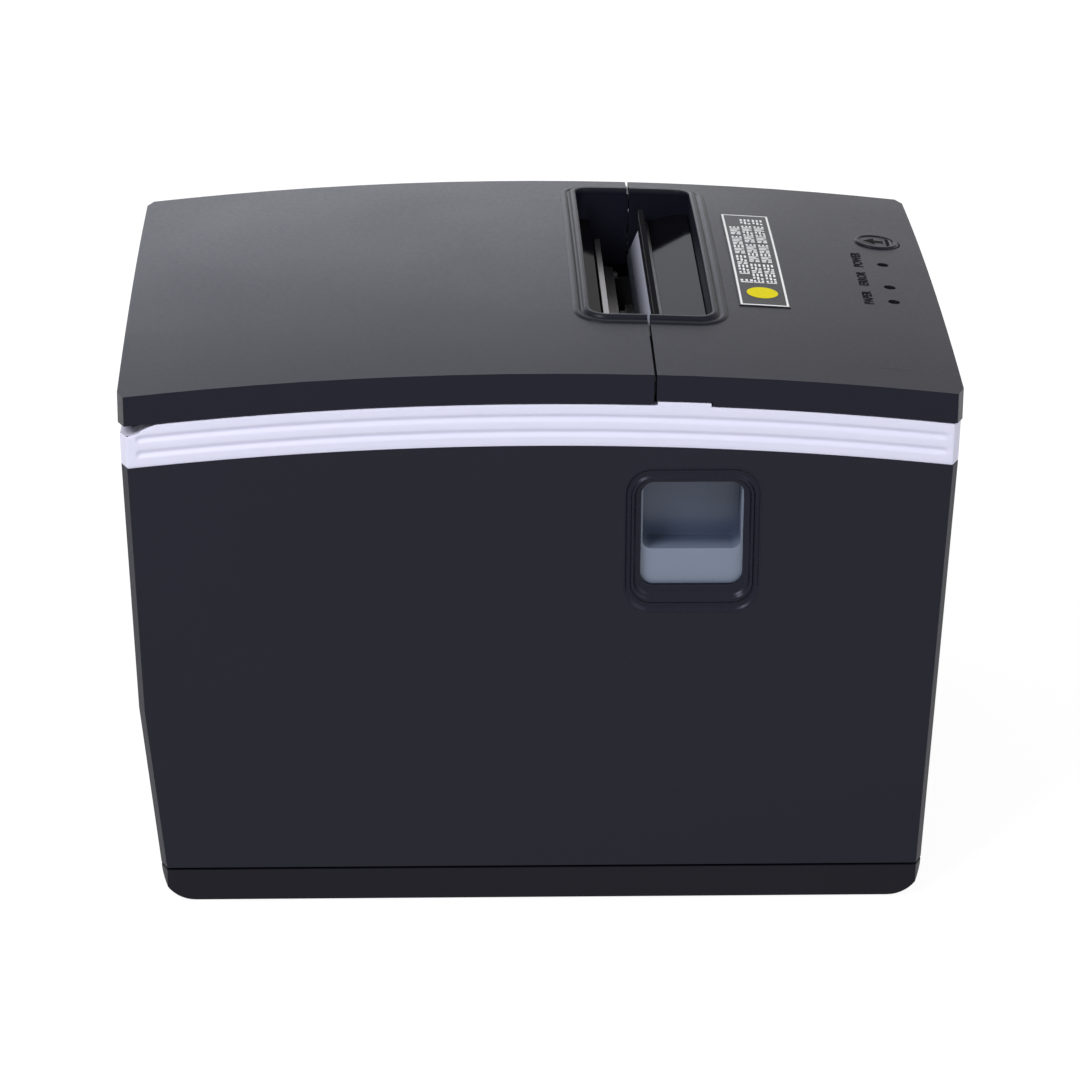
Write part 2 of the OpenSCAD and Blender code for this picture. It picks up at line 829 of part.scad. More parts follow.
module front_cover() {
  color("#2c2c34") {
    difference() {
      cover_shell(-half_l, front_edge_y, -half_l, front_edge_y + 1);
      intersection() {
        under_arch(skirt_z + notch_h);
        for (x = [-half_w - 1, half_w - wall - 1])
          block(x, x + wall + 2, front_edge_y - notch_l, front_edge_y + 1,
                skirt_z - 1, skirt_z + 20);
      }
      at_button()
        translate([0, 0, -cover_t - 5])
          cylinder(r = button_d / 2 + slack, h = cover_t + 10, $fn = round_fn);
      for (x = led_x)
        translate([x, led_y, blank_z]) cylinder(r = lens_r + fit, h = form_depth, $fn = 32);
    }
    block(exit_x0 - 1, exit_x1 + 1, exit_y0 - exit_wall, exit_y0 + 1.9,
          exit_wall_z, exit_wall_z + 1.7);
    split_lip();
    for (sx = [-1, 1])
      intersection() {
        translate([sx * cover_post_x, cover_post_y, deck_top])
          cylinder(r = 3.2, h = 40, $fn = round_fn);
        cover_form(cover_end_z - cover_t / 2);
      }
  }
}

module rear_cover() {
  lip_z = tear_z + 1;
  color("#2c2c34")
    difference() {
      union() {
        cover_shell(rear_edge_y, half_l, rear_edge_y - 1, half_l);
        along_x(exit_x0 - 1, exit_x1 + 1)
          polygon([
            [exit_y1 - 3.8, lip_z - 1.6], [exit_y1 + 1, lip_z - 1.2],
            [exit_y1 + 1, lip_z + 1], [exit_y1 - 3.8, lip_z]
          ]);
        for (sx = [-1, 1])
          rod_x(hinge_r, sx > 0 ? barrel_x0 : slack - lug_x0,
                sx > 0 ? lug_x0 - slack : -barrel_x0, hinge_y, hinge_z);
      }
      for (sx = [-1, 1]) {
        rod_x(hinge_pin_r + fit, sx > 0 ? barrel_x0 - 1 : -lug_x0 - 1,
              sx > 0 ? lug_x0 + 1 : 1 - barrel_x0, hinge_y, hinge_z);
        lug_notch(sx > 0 ? lug_x0 - slack : -lug_x1 - slack, sx > 0 ? lug_x1 + slack : -lug_x0 + slack);
      }
    }
}

module lug_notch(x0, x1) {
  rod_x(hinge_clear, x0, x1, hinge_y, hinge_z);
  block(x0, x1, hinge_y - hinge_clear, half_l + 1, skirt_z - 2, hinge_z);
  block(x0, x1, hinge_y, half_l + 1, hinge_z - 1, hinge_z + hinge_clear);
}

// Inner half of the roll cover, with the cheeks that carry the platen
module cover_liner() {
  liner_z = fixed_z + 1;
  liner_t = 2;
  liner_y0 = platen_y + 4;
  liner_y1 = half_l - 17;
  color("#3a3a42")
    difference() {
      union() {
        block(arm_l0 - 20, arm_r1 + 3.5, liner_y0, liner_y1, liner_z, liner_z + liner_t);
        intersection() {
          union() {
            block(arm_l0 - 18, arm_l0 - 16, liner_y0 + 2, liner_y1, liner_z, liner_z + 20);
            block(arm_r1 + 0.5, arm_r1 + 2.5, liner_y0 + 2, liner_y1, liner_z, liner_z + 20);
          }
          cover_form(cover_end_z - cover_t - 0.05);
        }
        for (x = [arm_l0, arm_r0])
          along_x(x, x + arm_t) {
            translate([platen_y, platen_z]) circle(r = 7, $fn = round_fn);
            polygon([
              [platen_y - 6.4, platen_z + 2.5], [platen_y + 7, platen_z + 3.4],
              [platen_y + 18, liner_z], [platen_y + 18, liner_z + liner_t],
              [liner_y0, liner_z + liner_t], [platen_y - 5, platen_z + 9]
            ]);
          }
      }
      for (x = [arm_l0, arm_r0])
        rod_x(5, x - 1, x + arm_t + 1, platen_y, platen_z);
    }
}

module hinge_pin(x0, x1) {
  color("silver") rod_x(hinge_pin_r, x0, x1, hinge_y, hinge_z, 32);
}

module hinge_pin_left() {
  hinge_pin(-lug_x1, -barrel_x0 - 2);
}

module hinge_pin_right() {
  hinge_pin(barrel_x0 + 2, lug_x1);
}

// === panel parts on the front cover ===

// Places children on the cover's surface at the button, square to the surface
module at_button() {
  translate([button_x, button_y, button_z])
    rotate([asin(-button_y / arch_r), asin(button_x / crown_r), 0]) children();
}

module feed_button() {
  color("#2c2c34")
    at_button() {
      translate([0, 0, -flange_low])
        cylinder(r = button_d / 2, h = flange_low + 0.2, $fn = round_fn);
      translate([0, 0, -flange_low]) cylinder(r = button_d / 2 + 1.2, h = flange_t, $fn = round_fn);
    }
}

module tact_switch() {
  z0 = front_board_z + board_t;
  color("#5a5a5a") {
    translate([button_x - 3, button_y - 3, z0]) cube([6, 6, 2.4]);
    translate([button_x, button_y, z0])
      cylinder(r = 1.7, h = button_z - flange_low - button_stroke - slack - 0.3 - z0, $fn = 32);
  }
}

module button_board() {
  color("#1f5a34") {
    block(-24, 36, led_y - 6, led_y + 5.5, front_board_z, front_board_z + board_t);
    for (x = led_x)
      translate([x - 1, led_y - 0.8, front_board_z + board_t]) cube([2, 1.6, 1]);
  }
}

module lens(x) {
  z0 = front_board_z + board_t + 1;
  color("#101014")
    translate([x, led_y, z0])
      cylinder(r = lens_r, h = top_at(x, led_y) - lens_drop - z0, $fn = 32);
}

module lens_power() {
  lens(led_x[0]);
}

module lens_error() {
  lens(led_x[1]);
}

module lens_paper() {
  lens(led_x[2]);
}

module top_label() {
  color("#111114")
    difference() {
      intersection() {
        block(label_x - label_w / 2, label_x + label_w / 2, label_y - label_l / 2,
              label_y + label_l / 2, cover_end_z, cover_end_z + 15);
        cover_form(cover_end_z + label_t);
      }
      cover_form(cover_end_z);
    }
}

// === paper exit ===

module exit_panel() {
  rear_z = tear_z + 0.9;
  front_z = cover_end_z + 0.2;
  color("#4a4a50")
    intersection() {
      along_x(exit_x0, exit_x1)
        polygon([
          [tear_y0 - 0.1, rear_z], [tear_y0 - 0.1, rear_z - 1.5],
          [exit_y0, front_z - 1.5], [exit_y0, front_z]
        ]);
      translate([0, 0, exit_wall_z]) linear_extrude(10) exit_outline(-slack, exit_y0, exit_y1);
    }
}

// Serrated bar against which the paper is torn by hand
module tear_bar() {
  pitch = 1.5;
  x0 = exit_x0 + slack;
  count = floor((exit_w - 2 * slack) / pitch);
  x1 = x0 + count * pitch;
  color("#303034")
    translate([0, 0, tear_z])
      linear_extrude(1.1)
        polygon(concat(
          [[x1, tear_y0], [x0, tear_y0]],
          [for (i = [0:2 * count])
            [x0 + i * pitch / 2, i % 2 == 0 ? tear_y1 - 0.8 : tear_y1]]
        ));
}

// Polished guide between the cutter and the tear bar
module cutter_chute() {
  color("#c8ccd4")
    along_x(plate_l0, plate_r1) {
      strip(mech_y0, chute_edge - 2, chute_z, chute_z + 1);
      polygon([
        [chute_edge, chute_z], [chute_edge, chute_z + 2.2], [tear_y1 - 0.8, tear_z],
        [tear_y0, tear_z], [tear_y0, chute_z]
      ]);
    }
}

module cutter_frame() {
  y1 = chute_edge - 0.5;
  color("#8f949b")
    difference() {
      union() {
        block(plate_l0, plate_r1, mech_y0, y1, rail_z, rail_z + cutter_t);
        block(plate_l0, plate_l0 + 3, mech_y0, y1, rail_z, chute_z);
        block(plate_r1 - 3, plate_r1, mech_y0, y1, rail_z, chute_z);
      }
      translate([drive_x, drive_y, rail_z - 1]) cylinder(r = drive_shaft_r + slack, h = 5, $fn = 32);
    }
}

module moving_blade() {
  x0 = arm_l1 + 0.7;
  x1 = arm_r0 - 0.7;
  v = 3.5;
  rack_x = drive_x + rack_r;
  color("#c9ced6")
    translate([0, 0, blade_z]) {
      linear_extrude(blade_t)
        polygon([
          [x0, blade_wide_y1 - 1], [x1, blade_wide_y1 - 1], [x1, blade_rest],
          [paper_x, blade_rest - v], [x0, blade_rest]
        ]);
      linear_extrude(blade_t)
        translate([plate_l0 + 3 + slack, blade_wide_y0])
          square([plate_r1 - plate_l0 - 6 - 2 * slack, blade_wide_y1 - blade_wide_y0]);
      linear_extrude(blade_t) rack_outline(rack_x, arm_end_y, blade_wide_y0 + 1);
    }
}

// Rack whose teeth point at the drive pinion, pitch line at x
module rack_outline(x, y0, y1) {
  tip = 0.85 * rack_module;
  root = 1.2 * rack_module;
  half = 0.23 * rack_pitch;
  count = floor((y1 - y0) / rack_pitch);
  k0 = ceil((y0 - drive_y) / rack_pitch);
  translate([x + root, y0]) square([arm_w, y1 - y0]);
  for (k = [k0 + 1:k0 + count - 1])
    let (c = drive_y + (k - 0.5) * rack_pitch)
      polygon([
        [x + root + 0.1, c - half - root * tan(20)], [x - tip, c - half + tip * tan(20)],
        [x - tip, c + half - tip * tan(20)], [x + root + 0.1, c + half + root * tan(20)]
      ]);
}

module cutter_pinion() {
  color("#e4e0d0") {
    translate([drive_x, drive_y, blade_z - 0.1])
      linear_extrude(blade_t + 0.2) gear_outline(rack_teeth, rack_module);
    translate([drive_x, drive_y, rail_z - 6])
      cylinder(r = drive_shaft_r, h = blade_z - rail_z + 6, $fn = 32);
  }
}

module cutter_motor() {
  color("#9a9a9e")
    translate([drive_x, drive_y, rail_z - cutter_motor_l])
      difference() {
        cylinder(r = cutter_motor_r, h = cutter_motor_l, $fn = round_fn);
        translate([0, 0, cutter_motor_l - 7])
          cylinder(r = drive_shaft_r + fit, h = 8, $fn = 32);
      }
}

module fixed_blade() {
  x0 = arm_l1 + slack;
  x1 = arm_r0 - slack;
  color("#c9ced6") {
    block(x0, x1, platen_y - 5.5, platen_y + 7, fixed_z, fixed_z + 1);
    block(x0, x1, platen_y - 2.1, platen_y - 0.8, fixed_z, tear_z - 1.5);
  }
}

// === print mechanism ===

module side_plate(x) {
  along_x(x, x + plate_t)
    difference() {
      strip(mech_y0, mech_y1, well_floor, rail_z);
      translate([platen_y, platen_z]) circle(r = shaft_r + slack, $fn = round_fn);
      polygon([
        [platen_y - shaft_r - slack, platen_z], [platen_y + shaft_r + slack, platen_z],
        [platen_y + shaft_r + 0.9, rail_z + 2], [platen_y - shaft_r - 2, rail_z + 2]
      ]);
      translate([pivot_y, pivot_z]) circle(r = hook_shaft_r + fit, $fn = round_fn);
      translate([idler_y, idler_z]) circle(r = idler_axle_r, $fn = round_fn);
      translate([pinion_y, pinion_z]) circle(r = boss_r, $fn = round_fn);
    }
}

module mech_frame() {
  bracket_y = sink_y0 - spring_l;
  color("#a8adb4")
    difference() {
      union() {
        side_plate(plate_l0);
        side_plate(plate_r0);
        block(plate_l0, plate_r1, mech_y0, mech_y1, well_floor, well_floor + plate_t);
        block(paper_x - 18, paper_x + 32, bracket_y - plate_t, bracket_y,
              well_floor, platen_z - 4);
      }
      at_mech_screws()
        translate([0, 0, well_floor - 1]) cylinder(r = 1.6, h = plate_t + 2, $fn = 32);
    }
}

module thermal_head() {
  color("#e6e6ea")
    block(paper_x0, paper_x1, head_y - ceramic_t, head_y, head_z0 + 2, head_z1);
}

module head_heatsink() {
  color("#b9bec6")
    block(plate_l1 + 0.2, plate_r0 - 0.2, sink_y0, head_y - ceramic_t, head_z0, head_z1);
}

module head_spring(x) {
  color("silver")
    translate([x, sink_y0, platen_z - 10]) rotate([90, 0, 0]) coil(2.5, 0.4, spring_l, 4);
}

module head_spring_left() {
  head_spring(paper_x - 11);
}

module head_spring_right() {
  head_spring(paper_x + 25);
}

module platen_shaft() {
  color("silver") rod_x(shaft_r, gear_x0, hook_r1, platen_y, platen_z);
}

module platen_roller() {
  color("#202022")
    difference() {
      rod_x(platen_d / 2, paper_x0, paper_x1, platen_y, platen_z);
      rod_x(shaft_r, paper_x0 - 1, paper_x1 + 1, platen_y, platen_z);
    }
}

// Bushing with its flange on the outer side of the cheek
module bushing(x0, x1, flange_x) {
  color("#e8e4d8")
    difference() {
      union() {
        rod_x(5, x0, x1, platen_y, platen_z);
        rod_x(6, flange_x, flange_x + 0.8, platen_y, platen_z);
      }
      rod_x(shaft_r + fit, x0 - 2, x1 + 2, platen_y, platen_z);
    }
}

module bushing_left() {
  bushing(arm_l0 - 0.8, arm_l1 + slack, arm_l0 - 0.8);
}

module bushing_right() {
  bushing(arm_r0 - slack, arm_r1 + 0.8, arm_r1);
}

module platen_gear() {
  color("#e4e0d0")
    along_x(gear_x0, gear_x1)
      translate([platen_y, platen_z])
        difference() {
          rotate(idler_dir) gear_outline(platen_teeth, gear_module);
          circle(r = shaft_r, $fn = round_fn);
        }
}

module idler_gear() {
  color("#e4e0d0")
    along_x(gear_x0, gear_x1)
      translate([idler_y, idler_z])
        difference() {
          rotate(idler_turn) gear_outline(idler_teeth, gear_module);
          circle(r = idler_axle_r + fit, $fn = round_fn);
          for (a = [0:60:300])
            rotate(a) translate([idler_r * 0.58, 0]) circle(r = idler_r * 0.18, $fn = 32);
        }
}

module idler_axle() {
  color("silver") rod_x(idler_axle_r, gear_x0 - 0.5, plate_l1, idler_y, idler_z, 32);
}

module motor_pinion() {
  color("#c9a14a")
    union() {
      along_x(gear_x0, gear_x1)
        translate([pinion_y, pinion_z])
          rotate(pinion_turn) gear_outline(pinion_teeth, gear_module);
      rod_x(motor_shaft_r, gear_x0, plate_l1 + 4, pinion_y, pinion_z, 32);
    }
}

module feed_motor() {
  color("#8e8e92")
    difference() {
      union() {
        rod_x(motor_r, plate_l1, plate_l1 + motor_l, pinion_y, pinion_z);
        rod_x(boss_r, plate_l0, plate_l1 + 1, pinion_y, pinion_z);
      }
      rod_x(motor_shaft_r + fit, plate_l0 - 1, plate_l1 + 5, pinion_y, pinion_z, 32);
    }
}

// === latch ===

module hook(x) {
  color("#b0b4ba")
    along_x(x, x + hook_t)
      difference() {
        union() {
          translate([pivot_y, pivot_z]) circle(r = hook_eye_r, $fn = round_fn);
          strip(pivot_y - hook_half, pivot_y + hook_half, pivot_z, platen_z + shaft_r + hook_web);
          strip(pivot_y - hook_half, platen_y + 2, platen_z + shaft_r + slack,
                platen_z + shaft_r + hook_web);
        }
        translate([platen_y, platen_z]) circle(r = shaft_r + slack, $fn = round_fn);
        strip(platen_y, platen_y + 2 * hook_half, platen_z - shaft_r - slack, platen_z + shaft_r + slack);
        translate([pivot_y, pivot_z]) circle(r = hook_shaft_r, $fn = round_fn);
      }
}

module hook_left() {
  hook(hook_l0);
}

module hook_right() {
  hook(hook_r0);
}

module hook_shaft() {
  color("silver") rod_x(hook_shaft_r, crank_x0, hook_r1, pivot_y, pivot_z);
}

module hook_crank() {
  color("#b0b4ba")
    along_x(crank_x0, crank_x1)
      difference() {
        union() {
          translate([pivot_y, pivot_z]) circle(r = hook_eye_r, $fn = round_fn);
          strip(link_y - hook_half, pivot_y, pivot_z - 1.8, crank_top);
        }
        translate([pivot_y, pivot_z]) circle(r = hook_shaft_r, $fn = round_fn);
      }
}

// Sliding lever with a finger scoop above its ledge
module open_lever() {
  scoop_depth = lever_t - 2;
  color("#7f8b97")
    union() {
      difference() {
        block(lever_x0, lever_x1, window_y - lever_w / 2, window_y + lever_w / 2, lever_z0, lever_z1);
        along_x(lever_x0 - 1, lever_x0 + scoop_depth)
          translate([window_y, (ledge_z + lever_z1 - 1) / 2])
            round_rect(lever_w - 2.4, lever_z1 - 1 - ledge_z, 2);
      }
      rod_x(link_r, lever_x1 - 1, link_x1, link_y, link_z, 32);
    }
}

module lever_spring() {
  color("silver")
    translate([lever_x0 + spring_r + 1.5, window_y, spring_z0])
      coil(spring_r, spring_wire, lever_z0 - spring_z0, 6);
}

module lever_retainer() {
  y0 = window_y - lever_w / 2 - slack - rib_t;
  y1 = window_y + lever_w / 2 + slack + rib_t;
  color("#33333a") block(rib_x1, rib_x1 + retainer_t, y0, y1, ledge_z - 5, rib_z1);
}

// === boards and ports ===

module main_board() {
  color("#1f5a34") {
    block(-board_x, board_x, board_y0, board_y1, board_z, board_top);
    translate([-12, -20, board_top]) cube([chip, chip, chip_t]);
    translate([20, -30, board_top]) cube(small_chip);
    translate([-45, 10, board_top]) cube(header);
    for (y = [20, 34, 48])
      translate([40, y, board_top]) cylinder(r = capacitor_r, h = capacitor_h, $fn = 32);
  }
}

module port_panel() {
  color("#9aa0a8")
    difference() {
      block(-port_half - 1, port_half + 1, panel_y0, panel_y1, board_top + 0.2, panel_z1);
      translate([inlet_x, panel_y0 - 1, board_top + 8])
        rotate([-90, 0, 0]) cylinder(r = 7 + slack, h = 5, $fn = round_fn);
      port_cut(usb_x, 12.6, 11.3);
      port_cut(network_x, 16.6, 13.8);
      port_cut(drawer_x, 14.6, 12.8);
      block(switch_x - 6.8, switch_x + 6.8, panel_y0 - 1, panel_y1 + 1, switch_z - 10.8, switch_z + 10.8);
    }
}

module port_cut(x, w, h) {
  block(x - w / 2, x + w / 2, panel_y0 - 1, panel_y1 + 1, board_top - 1, board_top + h);
}

// Connector box with a socket that is open to the rear
module socket(x, w, h, depth, sw, sh) {
  difference() {
    block(x - w / 2, x + w / 2, port_face - depth, port_face, board_top, board_top + h);
    block(x - sw / 2, x + sw / 2, port_face - depth + 3, port_face + 1,
          board_top + (h - sh) / 2, board_top + (h + sh) / 2);
  }
}

module power_inlet() {
  z = board_top + 8;
  color("#18181a")
    difference() {
      union() {
        translate([inlet_x, port_face - 12, z]) rotate([-90, 0, 0]) cylinder(r = 7, h = 12, $fn = round_fn);
        block(inlet_x - 7, inlet_x + 7, port_face - 14, panel_y0 - slack, board_top, z + 7);
      }
      translate([inlet_x, port_face - 9, z]) rotate([-90, 0, 0]) cylinder(r = 5, h = 10, $fn = round_fn);
    }
}

module usb_port() {
  color("#b8bcc2") socket(usb_x, 12, 11, 16, 8.6, 7.8);
}

module network_port() {
  color("#b8bcc2") socket(network_x, 16, 13.5, 18, 12, 8);
}

module drawer_port() {
  color("#18181a") socket(drawer_x, 14, 12.5, 16, 10, 7.5);
}

module switch_housing() {
  color("#18181a")
    difference() {
      block(switch_x - 6.5, switch_x + 6.5, port_face - 13, port_face, switch_z - 10.5, switch_z + 10.5);
      block(switch_x - 5.3, switch_x + 5.3, port_face - 11, port_face + 1, switch_z - 9.3, switch_z + 9.3);
      rod_x(1.5 + fit, switch_x - 7, switch_x + 7, rocker_y, switch_z, 32);
    }
}

// Rocker that leans to its off side at rest
module power_rocker() {
  tilt = 9;
  color("#202024")
    union() {
      along_x(switch_x - 5, switch_x + 5)
        translate([rocker_y, switch_z])
          rotate(tilt)
            polygon([[-3, -3], [5.3, -8], [4, 0], [5.3, 8], [-3, 3]]);
      rod_x(1.5, switch_x - 6.5, switch_x + 6.5, rocker_y, switch_z, 32);
    }
}

// === fasteners ===

module screw(r, length, head_r, head_h) {
  cylinder(r = head_r, h = head_h, $fn = 32);
  translate([0, 0, head_h - eps]) cylinder(r = r, h = length, $fn = 32);
}

module case_screws() {
  color("silver") at_posts() translate([0, 0, foot_h]) screw(screw_r, 10, 2.9, 1.2);
}

module mech_screws() {
  color("silver")
    at_mech_screws()
      translate([0, 0, well_floor + plate_t + 1.8])
        rotate([180, 0, 0]) screw(screw_r, 9, 2.8, 1.8);
}

base_case();
foot_front_left();
foot_front_right();
foot_rear_left();
foot_rear_right();
body_shell();
trim_belt();
inner_frame();
front_cover();
rear_cover();
cover_liner();
hinge_pin_left();
hinge_pin_right();
feed_button();
tact_switch();
button_board();
lens_power();
lens_error();
lens_paper();
top_label();
exit_panel();
tear_bar();
cutter_chute();
cutter_frame();
moving_blade();
fixed_blade();
cutter_pinion();
cutter_motor();
mech_frame();
thermal_head();
head_heatsink();
head_spring_left();
head_spring_right();
platen_shaft();
platen_roller();
bushing_left();
bushing_right();
platen_gear();
idler_gear();
idler_axle();
motor_pinion();
feed_motor();
hook_left();
hook_right();
hook_shaft();
hook_crank();
open_lever();
lever_spring();
lever_retainer();
main_board();
port_panel();
power_inlet();
usb_port();
network_port();
drawer_port();
switch_housing();
power_rocker();
case_screws();
mech_screws();
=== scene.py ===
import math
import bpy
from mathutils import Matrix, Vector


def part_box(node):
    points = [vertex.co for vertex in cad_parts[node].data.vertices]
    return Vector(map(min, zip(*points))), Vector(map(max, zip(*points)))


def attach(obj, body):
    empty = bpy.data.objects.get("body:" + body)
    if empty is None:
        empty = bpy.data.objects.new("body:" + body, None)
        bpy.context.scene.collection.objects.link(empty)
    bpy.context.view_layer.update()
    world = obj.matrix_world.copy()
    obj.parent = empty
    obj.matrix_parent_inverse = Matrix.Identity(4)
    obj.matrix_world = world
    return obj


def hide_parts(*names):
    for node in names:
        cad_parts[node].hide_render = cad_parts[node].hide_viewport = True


bl_info = {
    "name": "Receipt Printer Look",
    "version": (1, 0, 0),
    "blender": (4, 5, 0),
    "location": "View3D > Sidebar > Printer",
    "description": "Dresses a desktop receipt printer with finishes, rims, marks and a plain studio",
    "category": "Object",
}

import bmesh
import bpy
from bpy.props import FloatProperty, FloatVectorProperty, PointerProperty
from mathutils import Matrix, Vector

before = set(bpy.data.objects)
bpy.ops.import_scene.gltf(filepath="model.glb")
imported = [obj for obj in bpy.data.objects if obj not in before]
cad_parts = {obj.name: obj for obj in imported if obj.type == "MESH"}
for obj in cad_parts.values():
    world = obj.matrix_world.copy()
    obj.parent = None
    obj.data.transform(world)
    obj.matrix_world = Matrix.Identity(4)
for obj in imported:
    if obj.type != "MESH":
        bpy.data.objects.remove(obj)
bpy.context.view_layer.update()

MM = 0.001


# === places taken from the frame ===

def low(node, axis):
    """The lowest x, y or z of a CAD node at rest."""
    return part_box(node)[0]["xyz".index(axis)]


def high(node, axis):
    """The highest x, y or z of a CAD node at rest."""
    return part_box(node)[1]["xyz".index(axis)]


def middle(node, axis):
    """Half way between the two ends of a CAD node."""
    return (low(node, axis) + high(node, axis)) / 2


HALF_WIDTH = high("rear_cover", "x")
HALF_LENGTH = high("rear_cover", "y")
SIDE_X = -high("body_shell", "x")
SPLIT_GAP = 0.6 * MM
SPLIT_Y = low("rear_cover", "y") - SPLIT_GAP / 2
ARCH_RISE = 5.4 * MM
CROWN_RISE = 2.5 * MM
ARCH_RADIUS = (HALF_LENGTH**2 + ARCH_RISE**2) / (2 * ARCH_RISE)
CROWN_RADIUS = (HALF_WIDTH**2 + CROWN_RISE**2) / (2 * CROWN_RISE)
COVER_END_Z = high("tear_bar", "z") + 2.0 * MM
EXIT_X = middle("exit_panel", "x")
EXIT_WIDTH = high("exit_panel", "x") - low("exit_panel", "x") + 0.6 * MM
EXIT_Y0 = low("exit_panel", "y") - 0.3 * MM
EXIT_BEHIND_SPLIT = 13.4 * MM
EXIT_Y1 = SPLIT_Y + EXIT_BEHIND_SPLIT
EXIT_RADIUS = 4 * MM
TOOTH_PITCH = 1.6 * MM


def top_height(x, y):
    """Height of the covers' arched and crowned top."""
    radius = ARCH_RADIUS + math.sqrt(CROWN_RADIUS**2 - x * x) - CROWN_RADIUS + CROWN_RISE
    return COVER_END_Z + ARCH_RISE - ARCH_RADIUS + math.sqrt(radius * radius - y * y)


# === shader maths ===

class Value:
    """A number that changes over a surface. Python's operators add Math nodes to it."""

    def __init__(self, tree, socket):
        self.tree = tree
        self.socket = socket

    def math(self, operation, *terms):
        node = self.tree.nodes.new("ShaderNodeMath")
        node.operation = operation
        for socket, term in zip(node.inputs, terms):
            if isinstance(term, Value):
                self.tree.links.new(term.socket, socket)
            else:
                socket.default_value = term
        return Value(self.tree, node.outputs[0])

    def __add__(self, other):
        return self.math("ADD", self, other)

    __radd__ = __add__

    def __rsub__(self, other):
        return self.math("SUBTRACT", other, self)

    def __mul__(self, other):
        return self.math("MULTIPLY", self, other)

    __rmul__ = __mul__

    def __gt__(self, other):
        return self.math("GREATER_THAN", self, other)


class Finish:
    """A material in the making, with a Principled shader at its end."""

    def __init__(self, name):
        self.material = bpy.data.materials.new(name)
        self.material.use_nodes = True
        self.tree = self.material.node_tree
        self.tree.nodes.clear()
        self.output = self.tree.nodes.new("ShaderNodeOutputMaterial")

    def node(self, kind, settings=None, sockets=None, output=0):
        """Adds a node: its settings first, then the values or links of its sockets."""
        node = self.tree.nodes.new(kind)
        for key, value in (settings or {}).items():
            setattr(node, key, value)
        for key, value in (sockets or {}).items():
            self.feed(node.inputs[key], value)
        return Value(self.tree, node.outputs[output])

    def feed(self, socket, value):
        if isinstance(value, Value):
            self.tree.links.new(value.socket, socket)
        else:
            socket.default_value = value

    def coordinates(self):
        return self.node("ShaderNodeTexCoord", output="Object")

    def noise(self, scale, detail=2.0, place=None, roughness=0.5):
        return self.node(
            "ShaderNodeTexNoise",
            sockets={
                "Vector": place or self.coordinates(),
                "Scale": scale,
                "Detail": detail,
                "Roughness": roughness,
            },
            output="Fac",
        )

    def stretched(self, factors):
        """Object coordinates multiplied along each axis."""
        return self.node(
            "ShaderNodeVectorMath",
            {"operation": "MULTIPLY"},
            {0: self.coordinates(), 1: factors},
        )

    def blend(self, factor, first, second):
        """A colour between two others."""
        node = self.tree.nodes.new("ShaderNodeMix")
        node.data_type = "RGBA"
        self.feed(node.inputs[0], factor)
        self.feed(node.inputs[6], first)
        self.feed(node.inputs[7], second)
        return Value(self.tree, node.outputs[2])

    def bump(self, height, strength, distance):
        return self.node(
            "ShaderNodeBump",
            sockets={"Height": height, "Strength": strength, "Distance": distance},
        )

    def shade(self, sockets):
        """Ends the material with a Principled shader fed by these sockets."""
        shader = self.node("ShaderNodeBsdfPrincipled", sockets=sockets)
        self.tree.links.new(shader.socket, self.output.inputs["Surface"])
        return self.material


def rgba(colour, factor=1.0):
    return (colour[0] * factor, colour[1] * factor, colour[2] * factor, 1.0)


# === finishes ===

def moulded_plastic(name, colour, roughness, gloss, grain=2600.0, depth=0.02, tint=(1.0, 1.0, 1.0, 1.0)):
    """Moulded plastic with a fine spark-eroded grain and faint unevenness."""
    f = Finish(name)
    broad = f.noise(22.0, 2.0)
    fine = f.noise(grain, 2.0, roughness=0.6)
    specks = f.noise(grain * 0.35, 1.0)
    return f.shade({
        "Base Color": f.blend(broad, rgba(colour, 0.9), rgba(colour, 1.12)),
        "Specular Tint": tint,
        "Roughness": broad * 0.08 + specks * 0.08 + (roughness - 0.08),
        "Specular IOR Level": gloss,
        "Normal": f.bump(fine * 0.7 + specks * 0.3, 0.35, depth * MM),
    })


def satin_plastic(name, colour, roughness, gloss):
    """Smooth moulded plastic with faint flow marks."""
    f = Finish(name)
    flow = f.noise(9.0, 3.0, f.stretched((1.0, 0.4, 3.0)))
    fine = f.noise(900.0, 2.0)
    return f.shade({
        "Base Color": f.blend(flow, rgba(colour, 0.96), rgba(colour, 1.04)),
        "Roughness": flow * 0.08 + fine * 0.05 + (roughness - 0.06),
        "Specular IOR Level": gloss,
        "Normal": f.bump(flow * 0.2 + fine * 0.1, 0.2, 0.05 * MM),
    })


def plastic_with_painted_shade(name, colour, shade_colour, roughness, axis, start, end):
    """Smooth plastic whose colour darkens to a shade colour along one axis of the piece: painted shade."""
    f = Finish(name)
    flow = f.noise(9.0, 3.0, f.stretched((1.0, 0.4, 3.0)))
    along = f.node("ShaderNodeSeparateXYZ", sockets={"Vector": f.coordinates()}, output=axis)
    # Painted shade: depth runs from 0 at start to 0.92 at end and turns the colour to the shade colour.
    depth = f.node(
        "ShaderNodeMapRange", {"clamp": True},
        {"Value": along, "From Min": start, "From Max": end, "To Min": 0.0, "To Max": 0.92})
    return f.shade({
        "Base Color": f.blend(depth + flow * 0.08, rgba(colour), rgba(shade_colour)),
        "Roughness": flow * 0.08 + (roughness - 0.04),
        "Specular IOR Level": 0.5,
        "Normal": f.bump(flow, 0.15, 0.03 * MM),
    })


def soft_rubber(name, colour):
    """Dull rubber with a fine pebbled skin."""
    f = Finish(name)
    pebble = f.noise(1400.0, 2.0)
    broad = f.noise(60.0, 2.0)
    return f.shade({
        "Base Color": f.blend(broad, rgba(colour, 0.85), rgba(colour, 1.25)),
        "Roughness": pebble * 0.12 + 0.68,
        "Specular IOR Level": 0.3,
        "Normal": f.bump(pebble, 0.4, 0.05 * MM),
    })


